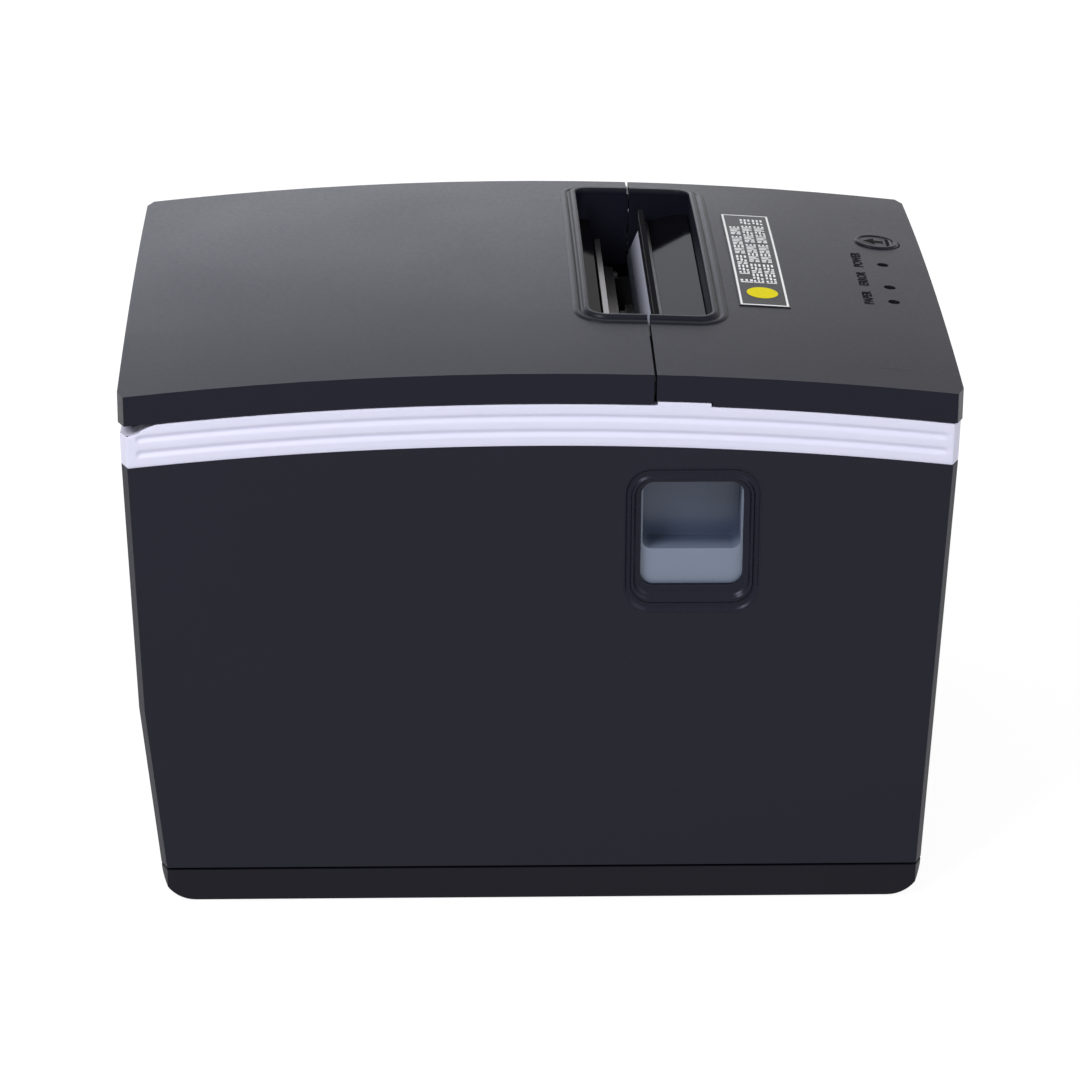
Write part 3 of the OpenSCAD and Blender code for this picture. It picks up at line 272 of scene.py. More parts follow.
def brushed_metal(name, colour, roughness, grain_axis):
    """Bright sheet or turned metal whose fine lines run along one axis."""
    f = Finish(name)
    factors = tuple(0.03 if axis == grain_axis else 1.0 for axis in "xyz")
    lines = f.noise(2600.0, 3.0, f.stretched(factors), 0.65)
    broad = f.noise(45.0, 2.0)
    return f.shade({
        "Base Color": f.blend(lines, rgba(colour, 0.85), rgba(colour, 1.1)),
        "Metallic": 1.0,
        "Roughness": lines * 0.14 + broad * 0.08 + (roughness - 0.1),
        "Normal": f.bump(lines, 0.18, 0.02 * MM),
    })


def blackened_steel(name, colour):
    """Dark coated steel."""
    f = Finish(name)
    grain = f.noise(900.0, 3.0)
    return f.shade({
        "Base Color": f.blend(grain, rgba(colour, 0.7), rgba(colour, 1.4)),
        "Metallic": 0.4,
        "Roughness": grain * 0.2 + 0.3,
        "Normal": f.bump(grain, 0.2, 0.03 * MM),
    })


def serrated_steel(name, colour, glint_colour, pitch):
    """Dark steel with a painted highlight line on every tooth, at this pitch along X."""
    f = Finish(name)
    wave = f.node(
        "ShaderNodeTexWave", {"wave_type": "BANDS", "bands_direction": "X"},
        {"Vector": f.coordinates(), "Scale": math.tau / (20.0 * pitch), "Distortion": 0.0}, output="Fac")
    # Painted highlight: light bands where the tooth tips would catch the light.
    painted_glints = f.node("ShaderNodeMapRange", {"clamp": True}, {"Value": wave, "From Min": 0.72, "From Max": 0.95})
    grain = f.noise(900.0, 3.0)
    return f.shade({
        "Base Color": f.blend(painted_glints, rgba(colour), rgba(glint_colour)),
        "Roughness": grain * 0.2 + 0.35,
        "Specular IOR Level": 0.06,
        "Normal": f.bump(grain + wave, 0.3, 0.1 * MM),
    })


def circuit_board(name, colour):
    """Green lacquered board with fine tracks."""
    f = Finish(name)
    tracks = f.node(
        "ShaderNodeTexVoronoi",
        {"feature": "DISTANCE_TO_EDGE", "distance": "CHEBYCHEV"},
        {"Vector": f.stretched((1.0, 1.0, 0.0)), "Scale": 260.0},
        output="Distance",
    )
    lines = tracks > 0.06
    broad = f.noise(120.0, 2.0)
    return f.shade({
        "Base Color": f.blend(lines, rgba(colour, 1.7), rgba(colour)),
        "Roughness": broad * 0.1 + 0.3,
        "Normal": f.bump(1.0 - lines, 0.3, 0.03 * MM),
    })


def printed_ink(name, colour, gloss=0.4):
    """Flat ink with slightly uneven cover."""
    f = Finish(name)
    cover = f.noise(1800.0, 3.0)
    return f.shade({
        "Base Color": f.blend(cover, rgba(colour, 0.86), rgba(colour, 1.05)),
        "Roughness": cover * 0.15 + 0.6,
        "Specular IOR Level": gloss,
    })


class Finishes:
    """Every finish of the printer, made once."""

    def __init__(self, look):
        self.case = moulded_plastic("BodyPlastic", look.case_colour, 0.5, look.case_gloss)
        self.base = moulded_plastic("BasePlastic", [0.55 * c for c in look.case_colour], 0.5, 0.15)
        # The dish is moulded in the case plastic; its colour at 0.8 of the case colour is painted shade in
        # the recess.
        self.dish = moulded_plastic(
            "DishPlastic", [0.8 * c for c in look.case_colour], 0.27, 0.18, tint=(0.78, 0.8, 1.0, 1.0))
        self.cover = moulded_plastic(
            "CoverPlastic", look.cover_colour, 0.4, look.cover_gloss, tint=(0.86, 0.86, 1.0, 1.0))
        self.rim = moulded_plastic("RimPlastic", look.cover_colour, 0.36, 0.13)
        self.inside = moulded_plastic("InnerPlastic", look.case_colour, 0.55, 0.3, 1500.0)
        self.belt = satin_plastic("BeltPlastic", look.belt_colour, 0.4, 0.35)
        # The lever's colour darkens to near navy deeper into its scoop along X: painted shade in the scoop.
        self.lever = plastic_with_painted_shade(
            "LeverPlastic", look.lever_colour, (0.05, 0.07, 0.125), 0.3, "X",
            low("open_lever", "x") + 1.2 * MM, low("open_lever", "x") + 6.0 * MM)
        self.rubber = soft_rubber("FootRubber", (0.02, 0.02, 0.022))
        self.lens = satin_plastic("LensTint", (0.004, 0.004, 0.005), 0.12, 0.5)
        self.film = satin_plastic("LabelFilm", (0.01, 0.01, 0.014), 0.42, 0.3)
        self.panel = satin_plastic("PanelPlastic", (0.004, 0.004, 0.006), 0.07, 0.02)
        self.dark_steel = blackened_steel("TearBarSteel", (0.01, 0.01, 0.012))
        self.hidden_steel = blackened_steel("CutterFrameSteel", (0.02, 0.02, 0.024))
        # The guide plate fades from pale to near black down the chute: painted shade. Its pale colour is
        # partly its own and partly a painted reflection.
        self.guide = plastic_with_painted_shade(
            "GuidePlate", (0.75, 0.78, 0.95), (0.03, 0.035, 0.05), 0.25, "Z",
            high("cutter_chute", "z") - 1.0 * MM, high("cutter_chute", "z") - 6.5 * MM)
        # The light lines on the teeth are painted highlights.
        self.teeth = serrated_steel("ToothSteel", (0.006, 0.006, 0.008), (0.16, 0.16, 0.18), TOOTH_PITCH)
        self.grey_steel = brushed_metal("FixedBladeSteel", (0.17, 0.16, 0.16), 0.3, "x")
        self.bright_steel = brushed_metal("BladeSteel", (0.72, 0.74, 0.78), 0.26, "x")
        self.shaft_steel = brushed_metal("ShaftSteel", (0.7, 0.71, 0.73), 0.2, "x")
        self.sheet = brushed_metal("ZincSheet", (0.6, 0.62, 0.64), 0.38, "z")
        self.spring = brushed_metal("SpringWire", (0.66, 0.67, 0.69), 0.25, "z")
        self.aluminium = brushed_metal("HeatsinkMetal", (0.74, 0.75, 0.77), 0.35, "x")
        self.brass = brushed_metal("PinionBrass", (0.75, 0.56, 0.24), 0.3, "x")
        self.ceramic = satin_plastic("HeadCeramic", (0.72, 0.72, 0.76), 0.2, 0.5)
        self.acetal = satin_plastic("GearAcetal", (0.74, 0.71, 0.62), 0.4, 0.4)
        self.black = moulded_plastic("ConnectorPlastic", (0.012, 0.012, 0.014), 0.45, 0.4, 1400.0)
        self.board = circuit_board("BoardLacquer", (0.012, 0.075, 0.03))
        self.white_ink = printed_ink("WhiteInk", (0.96, 0.96, 0.98))
        self.dark_ink = printed_ink("DarkInk", (0.008, 0.008, 0.009), 0.02)
        self.yellow_ink = printed_ink("YellowInk", (0.86, 0.74, 0.01), 0.1)
        # Pale ink for the painted highlight round the button's mark.
        self.highlight_ink = printed_ink("PaintedHighlightInk", (0.16, 0.16, 0.17), 0.1)
        self.contact = brushed_metal("ContactGold", (0.8, 0.6, 0.3), 0.25, "y")


finishes = None


# === meshes ===

def add_mesh(name, points, faces, finish, body, smooth=True):
    """A piece of the printer from its points and faces."""
    mesh = bpy.data.meshes.new(name)
    mesh.from_pydata([tuple(p) for p in points], [], faces)
    shape = bmesh.new()
    shape.from_mesh(mesh)
    bmesh.ops.recalc_face_normals(shape, faces=shape.faces)
    shape.to_mesh(mesh)
    shape.free()
    for polygon in mesh.polygons:
        polygon.use_smooth = smooth
    mesh.materials.append(finish)
    piece = bpy.data.objects.new(name, mesh)
    bpy.context.scene.collection.objects.link(piece)
    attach(piece, body)
    return piece


def loft(rings, caps=(False, False)):
    """Points and faces of a skin over closed rings of equal length."""
    count = len(rings[0])
    points = [p for ring in rings for p in ring]
    faces = []
    for r in range(len(rings) - 1):
        for i in range(count):
            j = (i + 1) % count
            a = r * count
            faces.append((a + i, a + j, a + count + j, a + count + i))
    if caps[0]:
        faces.append(tuple(range(count)))
    if caps[1]:
        last = (len(rings) - 1) * count
        faces.append(tuple(last + i for i in range(count)))
    return points, faces


def join_shapes(shapes):
    """One list of points and one of faces from several."""
    points = []
    faces = []
    for some_points, some_faces in shapes:
        start = len(points)
        points += some_points
        faces += [tuple(start + i for i in face) for face in some_faces]
    return points, faces


def rounded_rect(width, height, radius, steps=10):
    """Outline about the origin, counter-clockwise, with its corners' arcs."""
    outline = []
    for corner, (sx, sy) in enumerate(((1, 1), (-1, 1), (-1, -1), (1, -1))):
        for step in range(steps + 1):
            angle = math.radians(90 * corner + 90 * step / steps)
            outline.append((
                sx * (width / 2 - radius) + radius * math.cos(angle),
                sy * (height / 2 - radius) + radius * math.sin(angle),
            ))
    return outline


def circle(x, y, radius, steps):
    """Points evenly spaced round a centre."""
    turns = [math.tau * k / steps for k in range(steps)]
    return [(x + radius * math.cos(turn), y + radius * math.sin(turn)) for turn in turns]


def add_box(name, x_range, y_range, z_range, finish, body):
    """A plain block between three pairs of limits."""
    y0, y1 = y_range
    z0, z1 = z_range
    rings = [[(x, y0, z0), (x, y1, z0), (x, y1, z1), (x, y0, z1)] for x in x_range]
    points, faces = loft(rings, caps=(True, True))
    return add_mesh(name, points, faces, finish, body, smooth=False)


def cad(node):
    """The object of a CAD node."""
    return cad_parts[node]


def dress(finish, *nodes):
    """Gives CAD nodes a finish."""
    for node in nodes:
        piece = cad(node)
        for slot in piece.material_slots:
            slot.link = "OBJECT"
            slot.material = finish


def soften(radius, *nodes):
    """Rounds the edges of CAD nodes without moving their faces."""
    for node in nodes:
        piece = cad(node)
        merge = piece.modifiers.new("Merge", "WELD")
        merge.merge_threshold = 0.002 * MM
        flatten = piece.modifiers.new("Flatten", "DECIMATE")
        flatten.decimate_type = "DISSOLVE"
        flatten.angle_limit = math.radians(0.4)
        bevel = piece.modifiers.new("Edges", "BEVEL")
        bevel.width = radius
        bevel.segments = 3
        bevel.limit_method = "ANGLE"
        bevel.angle_limit = math.radians(28)
        bevel.harden_normals = False
        bevel.miter_outer = "MITER_ARC"
        for polygon in piece.data.polygons:
            polygon.use_smooth = True
        normals = piece.modifiers.new("Normals", "WEIGHTED_NORMAL")
        normals.keep_sharp = True
        normals.weight = 60


# === sizes and colours that a user would change ===

class PrinterLook(bpy.types.PropertyGroup):
    """Sizes and colours of the printer's dress."""

    case_colour: FloatVectorProperty(
        name="Case Colour", description="Colour of the case plastic",
        default=(0.0102, 0.0102, 0.0188), subtype="COLOR", min=0, max=1)
    cover_colour: FloatVectorProperty(
        name="Cover Colour", description="Colour of the covers",
        default=(0.0065, 0.0065, 0.0135), subtype="COLOR", min=0, max=1)
    belt_colour: FloatVectorProperty(
        name="Belt Colour", description="Colour of the trim belt",
        default=(0.68, 0.68, 0.84), subtype="COLOR", min=0, max=1)
    lever_colour: FloatVectorProperty(
        name="Lever Colour", description="Colour of the latch lever",
        default=(0.165, 0.2, 0.275), subtype="COLOR", min=0, max=1)
    case_gloss: FloatProperty(
        name="Case Gloss", description="Specular level of the case plastic",
        default=0.16, min=0, max=1)
    cover_gloss: FloatProperty(
        name="Cover Gloss", description="Specular level of the covers",
        default=0.2, min=0, max=1)
    edge_radius: FloatProperty(
        name="Edge Radius", description="Rounding of the covers' outer edges",
        default=0.8 * MM, min=0.1 * MM, max=1.5 * MM, unit="LENGTH")
    rim_height: FloatProperty(
        name="Rim Height", description="Height of the inner rim of the paper exit",
        default=1.0 * MM, min=0.5 * MM, max=2 * MM, unit="LENGTH")
    print_lift: FloatProperty(
        name="Print Lift", description="Height of printed marks over their surface",
        default=0.04 * MM, min=0.01 * MM, max=0.2 * MM, unit="LENGTH")


# === stage ===

def aim_camera(scene):
    """Camera of a long lens, slightly above the latch side."""
    pitch = 0.3918
    yaw = 0.0325
    roll = 0.0073
    focal_length = 148.66
    place = Vector((-1002.94, 30.55, 476.95)) * MM
    forward = Vector((
        math.cos(yaw) * math.cos(pitch),
        -math.sin(yaw) * math.cos(pitch),
        -math.sin(pitch),
    ))
    right = Vector((-math.sin(yaw), -math.cos(yaw), 0))
    up = right.cross(forward)
    right_rolled = right * math.cos(roll) + up * math.sin(roll)
    up_rolled = up * math.cos(roll) - right * math.sin(roll)
    turn = Matrix((right_rolled, up_rolled, -forward)).transposed().to_4x4()
    lens = bpy.data.cameras.new("Camera")
    lens.lens = focal_length
    lens.sensor_width = 36.0
    lens.clip_start = 0.01
    lens.clip_end = 20
    camera = bpy.data.objects.new("Camera", lens)
    camera.matrix_world = Matrix.Translation(place) @ turn
    scene.collection.objects.link(camera)
    scene.camera = camera


def add_softbox(name, place, target, size, power, colour=(1.0, 1.0, 1.0)):
    """A rectangular lamp, aimed at a target."""
    lamp = bpy.data.lights.new(name, "AREA")
    lamp.color = colour
    lamp.shape = "RECTANGLE"
    lamp.size = size[0]
    lamp.size_y = size[1]
    lamp.energy = power
    lamp_object = bpy.data.objects.new(name, lamp)
    lamp_object.location = place
    aim = Vector(target) - Vector(place)
    lamp_object.rotation_euler = aim.to_track_quat("-Z", "Y").to_euler()
    bpy.context.scene.collection.objects.link(lamp_object)


def seen_directly(tree):
    """1 or more for what the viewer, a gloss or a clear part sees, and 0 for soft light."""
    path = tree.nodes.new("ShaderNodeLightPath")
    kinds = ("Is Camera Ray", "Is Glossy Ray", "Is Transmission Ray")
    viewer, gloss, clear = [Value(tree, path.outputs[kind]) for kind in kinds]
    return viewer + gloss + clear


def light_world(scene):
    """A white surround that gives only a part of its brightness as soft light."""
    soft_share = 0.42
    world = bpy.data.worlds.new("Studio")
    world.use_nodes = True
    tree = world.node_tree
    background = tree.nodes["Background"]
    background.inputs["Color"].default_value = (1, 1, 1, 1)
    seen = seen_directly(tree)
    seen = seen.math("MINIMUM", seen, 1.0)
    strength = seen * (1.0 - soft_share) + soft_share
    tree.links.new(strength.socket, background.inputs["Strength"])
    scene.world = world


def lay_floor():
    """A white floor that glows to the viewer and still takes a faint shadow."""
    paper = 0.86
    glow_strength = 1.15
    glow_share = 0.8
    reach = 6.0
    f = Finish("FloorPaper")
    diffuse = f.node("ShaderNodeBsdfDiffuse", sockets={"Color": (paper, paper, paper, 1)})
    glow = f.node("ShaderNodeEmission", sockets={"Color": (1, 1, 1, 1), "Strength": glow_strength})
    share = seen_directly(f.tree) * glow_share
    mix = f.node("ShaderNodeMixShader", sockets={0: share, 1: diffuse, 2: glow})
    f.tree.links.new(mix.socket, f.output.inputs["Surface"])
    mesh = bpy.data.meshes.new("Floor")
    mesh.from_pydata(
        [(-reach, -reach, 0), (reach, -reach, 0), (reach, reach, 0), (-reach, reach, 0)],
        [], [(0, 1, 2, 3)])
    mesh.materials.append(f.material)
    floor = bpy.data.objects.new("Floor", mesh)
    bpy.context.scene.collection.objects.link(floor)


class PRINTER_OT_stage(bpy.types.Operator):
    """Sets the camera, the lights, the world and the floor"""
    bl_idname = "printer.stage"
    bl_label = "Set Stage"

    def execute(self, context):
        scene = context.scene
        scene.view_settings.view_transform = "Standard"
        aim_camera(scene)
        light_world(scene)
        lay_floor()
        add_softbox("KeyBox", (-0.9, 0.75, 1.15), (0, 0, 0.08), (0.6, 0.6), 15.0)
        add_softbox("FillBox", (-1.0, -0.8, 0.7), (0, 0, 0.08), (0.8, 0.8), 3.0)
        add_softbox("RearBox", (1.35, 0.42, 0.5), (0, 0, 0.1), (1.25, 0.36), 2.4, (0.84, 0.87, 1.0))
        return {"FINISHED"}


# === case ===

BELT_DROP = 17.4 * MM
BELT_Z0 = COVER_END_Z - BELT_DROP
BELT_HEIGHT = 10 * MM
BELT_CORE = 0.6 * MM
BELT_LEAN = 0.4 * MM
PIN_RADIUS = 1.2 * MM
HINGE_Y = high("hinge_pin_left", "y") - PIN_RADIUS
HINGE_Z = high("hinge_pin_left", "z") - PIN_RADIUS
HINGE_SWEEP = 3.565 * MM
LUG_X = (54.0 * MM, 60.3 * MM)
LUG_TOP = BELT_Z0 + 3.2 * MM
NOTCH_Y = (SPLIT_Y - 12.6 * MM, SPLIT_Y - 0.6 * MM)
NOTCH_RISE = 0.9 * MM
DIP_START = HINGE_Y - 6.5 * MM
DIP_LENGTH = 8 * MM
DIP_DROP = 2.4 * MM
GROOVES = (3.2 * MM, 6.8 * MM)
GROOVE_HALF_WIDTH = 1.15 * MM
GROOVE_DEPTH = 0.6 * MM
GROOVE_ENDS = (-91.5 * MM, 91.0 * MM)
GROOVE_FADE = 0.9 * MM
# A side is flat where its normal has more than this along one axis.
FLAT_SIDE = 0.99
# Two stations stand this share of a side before and behind each step.
HAIR = 0.00005


def arch_height(y):
    """How far the arch stands over its ends."""
    return math.sqrt(ARCH_RADIUS**2 - y * y) - ARCH_RADIUS + ARCH_RISE


def belt_top(x, y):
    """Height of the trim belt's upper edge."""
    top = BELT_Z0 + BELT_HEIGHT + arch_height(y)
    if NOTCH_Y[0] < y < NOTCH_Y[1]:
        top += NOTCH_RISE
    part = min(1.0, max(0.0, (y - DIP_START) / DIP_LENGTH))
    top -= DIP_DROP * part * part * (3 - 2 * part)
    if y > HINGE_Y:
        top = min(top, HINGE_Z - HINGE_SWEEP)
    elif y > HINGE_Y - HINGE_SWEEP:
        top = min(top, HINGE_Z - math.sqrt(HINGE_SWEEP**2 - (y - HINGE_Y)**2))
    if y > HINGE_Y + 1 * MM and LUG_X[0] < abs(x) < LUG_X[1]:
        top = LUG_TOP
    return top


def belt_plan():
    """Stations round the belt: place on the core line and outward normal."""
    side = -SIDE_X
    end = high("body_shell", "y")
    cut_x = 3.5 * MM
    cut_y = 1.5 * MM
    corners = [
        (side, cut_y - end), (side, end - cut_y), (side - cut_x, end), (cut_x - side, end),
        (-side, end - cut_y), (-side, cut_y - end), (cut_x - side, -end), (side - cut_x, -end),
    ]
    corners = [Vector(c) for c in corners]
    normals = []
    for a, b in zip(corners, corners[1:] + corners[:1]):
        along = (b - a).normalized()
        normals.append(Vector((along.y, -along.x)))
    core = []
    for i, corner in enumerate(corners):
        before, after = normals[i - 1], normals[i]
        core.append(corner - (before + after) * (BELT_CORE / (1 + before.dot(after))))
    stations = []
    for i, normal in enumerate(normals):
        a, b = core[i], core[(i + 1) % 8]
        shares = {k / 60 for k in range(61)} if (b - a).length > 20 * MM else {0.0, 1.0}
        jumps = []
        if abs(normal.x) > FLAT_SIDE:
            bends = [HINGE_Y - k * 0.4 * MM for k in range(10)]
            for groove_end, fade in zip(GROOVE_ENDS, (GROOVE_FADE, -GROOVE_FADE)):
                bends += [groove_end, groove_end + fade]
            shares |= {(y - a.y) / (b.y - a.y) for y in bends}
            jumps = [(y - a.y) / (b.y - a.y) for y in (*NOTCH_Y, HINGE_Y)]
        elif normal.y > FLAT_SIDE:
            jumps = [(x - a.x) / (b.x - a.x) for x in (-LUG_X[1], -LUG_X[0], LUG_X[0], LUG_X[1])]
        shares |= {share + aside for share in jumps for aside in (-HAIR, HAIR)}
        for share in sorted(shares):
            stations.append((a.lerp(b, share), normal))
        turned = normals[(i + 1) % 8]
        for step in (0.25, 0.5, 0.75):
            stations.append((b, normal.lerp(turned, step).normalized()))
    return stations


def groove_depth(height):
    """How far the two grooves reach into the belt at a height over its lower edge."""
    depth = 0.0
    for groove in GROOVES:
        away = abs(height - groove) / GROOVE_HALF_WIDTH
        if away < 1:
            depth = max(depth, GROOVE_DEPTH * (0.5 + 0.5 * math.cos(math.pi * away)))
    return depth


def belt_levels():
    """Heights of the belt's rows of points over its lower edge, closer together in the grooves."""
    levels = [k * MM for k in (0.0, 0.2, 0.5, 1.2, 2.0, 5.0, 8.6, 9.2, 9.6, 9.85, 10.0)]
    for groove in GROOVES:
        levels += [groove + GROOVE_HALF_WIDTH * (k / 5 - 1) for k in range(11)]
    return sorted(levels)


def add_belt():
    """The pale trim belt with two soft grooves along each side."""
    upper_rows = 9.0 * MM
    lower_round = 0.5 * MM
    upper_round = 0.4 * MM
    round_depth = 0.14 * MM
    wall = 2.4 * MM
    wall_at_hinge = 5.4 * MM
    levels = belt_levels()
    rings = []
    for place, normal in belt_plan():
        base = BELT_Z0 + arch_height(place.y)
        top = belt_top(place.x, place.y)
        on_side = abs(normal.x) > FLAT_SIDE
        from_end = min(GROOVE_ENDS[1] - place.y, place.y - GROOVE_ENDS[0])
        fade = max(0.0, min(1.0, from_end / GROOVE_FADE))
        ring = []
        for level in levels:
            z = min(base + level, top)
            if level > upper_rows:
                z = max(z, top - (BELT_HEIGHT - level))
            lean = BELT_LEAN * (z - BELT_Z0) / BELT_DROP
            inset = groove_depth(level) * fade if on_side else 0.0
            inset += round_depth * (1 - min(level / lower_round, (top - z) / upper_round, 1.0))
            spot = place + normal * (BELT_CORE + lean - inset)
            ring.append((spot.x, spot.y, z))
        deep = on_side and HINGE_Y - HINGE_SWEEP < place.y < HINGE_Y + 1.5 * MM
        inner = place + normal * (BELT_CORE - (wall_at_hinge if deep else wall))
        ring.append((inner.x, inner.y, top))
        ring.append((inner.x, inner.y, base))
        rings.append(ring)
    points, faces = loft(rings + rings[:1])
    belt = add_mesh("belt_band", points, faces, finishes.belt, "chassis")
    belt.data.set_sharp_from_angle(angle=math.radians(38))
    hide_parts("trim_belt")


class PRINTER_OT_case(bpy.types.Operator):
    """Dresses the body, the bottom case, the trim belt and the feet"""
    bl_idname = "printer.case"
    bl_label = "Dress Case"

    def execute(self, context):
        dress(finishes.case, "body_shell")
        dress(finishes.base, "base_case")
        add_belt()
        dress(finishes.rubber, "foot_front_left", "foot_front_right", "foot_rear_left", "foot_rear_right")
        dress(finishes.inside, "inner_frame")
        soften(0.4 * MM, "base_case")
        return {"FINISHED"}


# === covers and paper exit ===

def rim_path(y0, y1):
    """Points and outward normals of the exit's outline between two depths, from one end to the other."""
    point_gap = 3 * MM
    piece_gap = 20 * MM
    outline = rounded_rect(EXIT_WIDTH, EXIT_Y1 - EXIT_Y0, EXIT_RADIUS, 12)
    centre_y = (EXIT_Y0 + EXIT_Y1) / 2
    dense = []
    count = len(outline)
    for i in range(count):
        a = Vector(outline[i])
        b = Vector(outline[(i + 1) % count])
        parts = max(1, round((b - a).length / point_gap))
        for k in range(parts):
            dense.append(a.lerp(b, k / parts))
    path = []
    half_y = (EXIT_Y1 - EXIT_Y0) / 2
    for p in dense:
        inner_x = max(-EXIT_WIDTH / 2 + EXIT_RADIUS, min(EXIT_WIDTH / 2 - EXIT_RADIUS, p.x))
        inner_y = max(-half_y + EXIT_RADIUS, min(half_y - EXIT_RADIUS, p.y))
        normal = (p - Vector((inner_x, inner_y))).normalized()
        path.append((Vector((p.x + EXIT_X, p.y + centre_y)), normal))
    kept = [q for q in path if y0 < q[0].y < y1]
    breaks = [i for i in range(len(kept)) if (kept[i][0] - kept[i - 1][0]).length > piece_gap]
    start = breaks[0] if breaks else 0
    kept = kept[start:] + kept[:start]
    cut_y = y0 if abs(y0 - SPLIT_Y) < abs(y1 - SPLIT_Y) else y1
    first = (Vector((kept[0][0].x, cut_y)), kept[0][1])
    last = (Vector((kept[-1][0].x, cut_y)), kept[-1][1])
    return [first] + kept + [last]


def rim_profile(height):
    """Distance out from the exit's edge and height over the cover, in metres."""
    return [
        (-0.04 * MM, -1.0 * MM), (-0.04 * MM, 0.6 * height), (0.08 * MM, 0.88 * height),
        (0.3 * MM, height), (0.9 * MM, height), (1.15 * MM, 0.9 * height),
        (1.34 * MM, 0.6 * height), (1.56 * MM, 0.2 * height), (1.75 * MM, 0.06 * height),
        (2.0 * MM, 0.05 * height), (2.2 * MM, 0.2 * height), (2.5 * MM, 0.36 * height),
        (3.0 * MM, 0.38 * height), (3.4 * MM, 0.28 * height), (3.75 * MM, 0.02 * height),
        (3.8 * MM, -1.0 * MM),
    ]


def add_rim(name, y0, y1, body, height):
    """One cover's half of the raised double rim round the paper exit, lower on its right."""
    lower_share = 0.42
    rings = []
    for point, normal in rim_path(y0, y1):
        tall = height * (1.0 - lower_share * max(0.0, normal.x))
        ring = []
        for out, up in rim_profile(tall):
            spot = point + normal * out
            ring.append((spot.x, spot.y, top_height(spot.x, spot.y) + up))
        rings.append(ring)
    points, faces = loft(rings, caps=(True, True))
    rim = add_mesh(name, points, faces, finishes.rim, body)
    rim.data.set_sharp_from_angle(angle=math.radians(50))


class PRINTER_OT_covers(bpy.types.Operator):
    """Dresses the two covers and adds the rim round the paper exit"""
    bl_idname = "printer.covers"
    bl_label = "Dress Covers"

    def execute(self, context):
        look = context.scene.printer_look
        dress(finishes.cover, "rear_cover", "front_cover")
        dress(finishes.inside, "cover_liner")
        dress(finishes.shaft_steel, "hinge_pin_left", "hinge_pin_right")
        soften(look.edge_radius, "rear_cover", "front_cover")
        rear_edge = SPLIT_Y + SPLIT_GAP / 2
        front_edge = SPLIT_Y - SPLIT_GAP / 2
        add_rim("exit_rim_rear", rear_edge, HALF_LENGTH, "rear_cover", look.rim_height)
        add_rim("exit_rim_front", -HALF_LENGTH, front_edge, "chassis", look.rim_height)
        return {"FINISHED"}


def add_tear_blade():
    """The toothed blade that stands on the tear bar."""
    tooth_height = 1.1 * MM
    sunk = 0.2 * MM
    y0 = high("tear_bar", "y") - 1.3 * MM
    y1 = high("tear_bar", "y") - 0.1 * MM
    z0 = high("tear_bar", "z") - sunk
    z1 = z0 + 3.0 * MM
    x = low("tear_bar", "x") + 0.5 * MM
    x_end = high("tear_bar", "x") - 0.5 * MM
    add_box(
        "tear_blade", (x, x_end), (y0 + 0.1 * MM, y1 - 0.1 * MM), (z0, z1),
        finishes.dark_steel, "chassis")
    shapes = []
    while x + TOOTH_PITCH < x_end:
        section = [
            (x, z1 - sunk),
            (x + 0.45 * TOOTH_PITCH, z1 + tooth_height),
            (x + 0.8 * TOOTH_PITCH, z1 - sunk),
        ]
        rings = [[(px, y, pz) for px, pz in section] for y in (y0, y1)]
        shapes.append(loft(rings, caps=(True, True)))
        x += TOOTH_PITCH
    points, faces = join_shapes(shapes)
    add_mesh("tear_teeth", points, faces, finishes.teeth, "chassis", smooth=False)


def add_exit_shelf():
    """Glossy skin on the shelf at the rear of the paper exit."""
    z = high("tear_bar", "z") - 0.1 * MM
    skin = 0.06 * MM
    rise = 0.88 * MM
    front = EXIT_Y1 - 3.8 * MM - skin
    back = EXIT_Y1 + 0.4 * MM
    section = [(front, z - 1.6 * MM), (front, z + skin), (back, z + rise + skin), (back, z - 1.2 * MM)]
    ends = (low("exit_panel", "x"), high("exit_panel", "x"))
    rings = [[(x, y, height) for y, height in section] for x in ends]
    points, faces = loft(rings, caps=(True, True))
    add_mesh("exit_shelf_skin", points, faces, finishes.panel, "rear_cover", smooth=False)


def add_split_strips():
    """Strips on the rear cover's edge that narrow the split beside the paper exit."""
    x0 = low("exit_panel", "x")
    x1 = high("exit_panel", "x")
    edge = low("rear_cover", "y")
    front = edge - 0.42 * MM
    back = edge + 0.3 * MM
    top = 0.9 * MM
    strips = (
        ("split_strip_right", x1 + 0.4 * MM, x1 + 1.5 * MM, 9.0 * MM),
        ("split_strip_far", x1 + 1.5 * MM, HALF_WIDTH - 0.7 * MM, 1.8 * MM),
        ("split_strip_left", x0 - 9.0 * MM, x0 - 0.6 * MM, 2.2 * MM),
    )
    for name, start, end, bottom in strips:
        rings = []
        for x in (start, end):
            z0 = top_height(x, edge) - top
            z1 = top_height(x, edge) - bottom
            rings.append([(x, front, z0), (x, back, z0), (x, back, z1), (x, front, z1)])
        points, faces = loft(rings, caps=(True, True))
        add_mesh(name, points, faces, finishes.cover, "rear_cover", smooth=False)


class PRINTER_OT_paper_exit(bpy.types.Operator):
    """Dresses the panel, the tear bar, the cutter and its chute"""
    bl_idname = "printer.paper_exit"
    bl_label = "Dress Paper Exit"

    def execute(self, context):
        dress(finishes.panel, "exit_panel")
        dress(finishes.dark_steel, "tear_bar")
        dress(finishes.guide, "cutter_chute")
        dress(finishes.bright_steel, "moving_blade")
        dress(finishes.grey_steel, "fixed_blade")
        add_exit_shelf()
        add_split_strips()
        add_tear_blade()
        dress(finishes.hidden_steel, "cutter_frame", "cutter_motor")
        dress(finishes.acetal, "cutter_pinion")
        return {"FINISHED"}


# === controls on the front cover ===

def on_top(places, lift):
    """Points at a lift over the covers' top."""
    return [(x, y, top_height(x, y) + lift) for x, y in places]


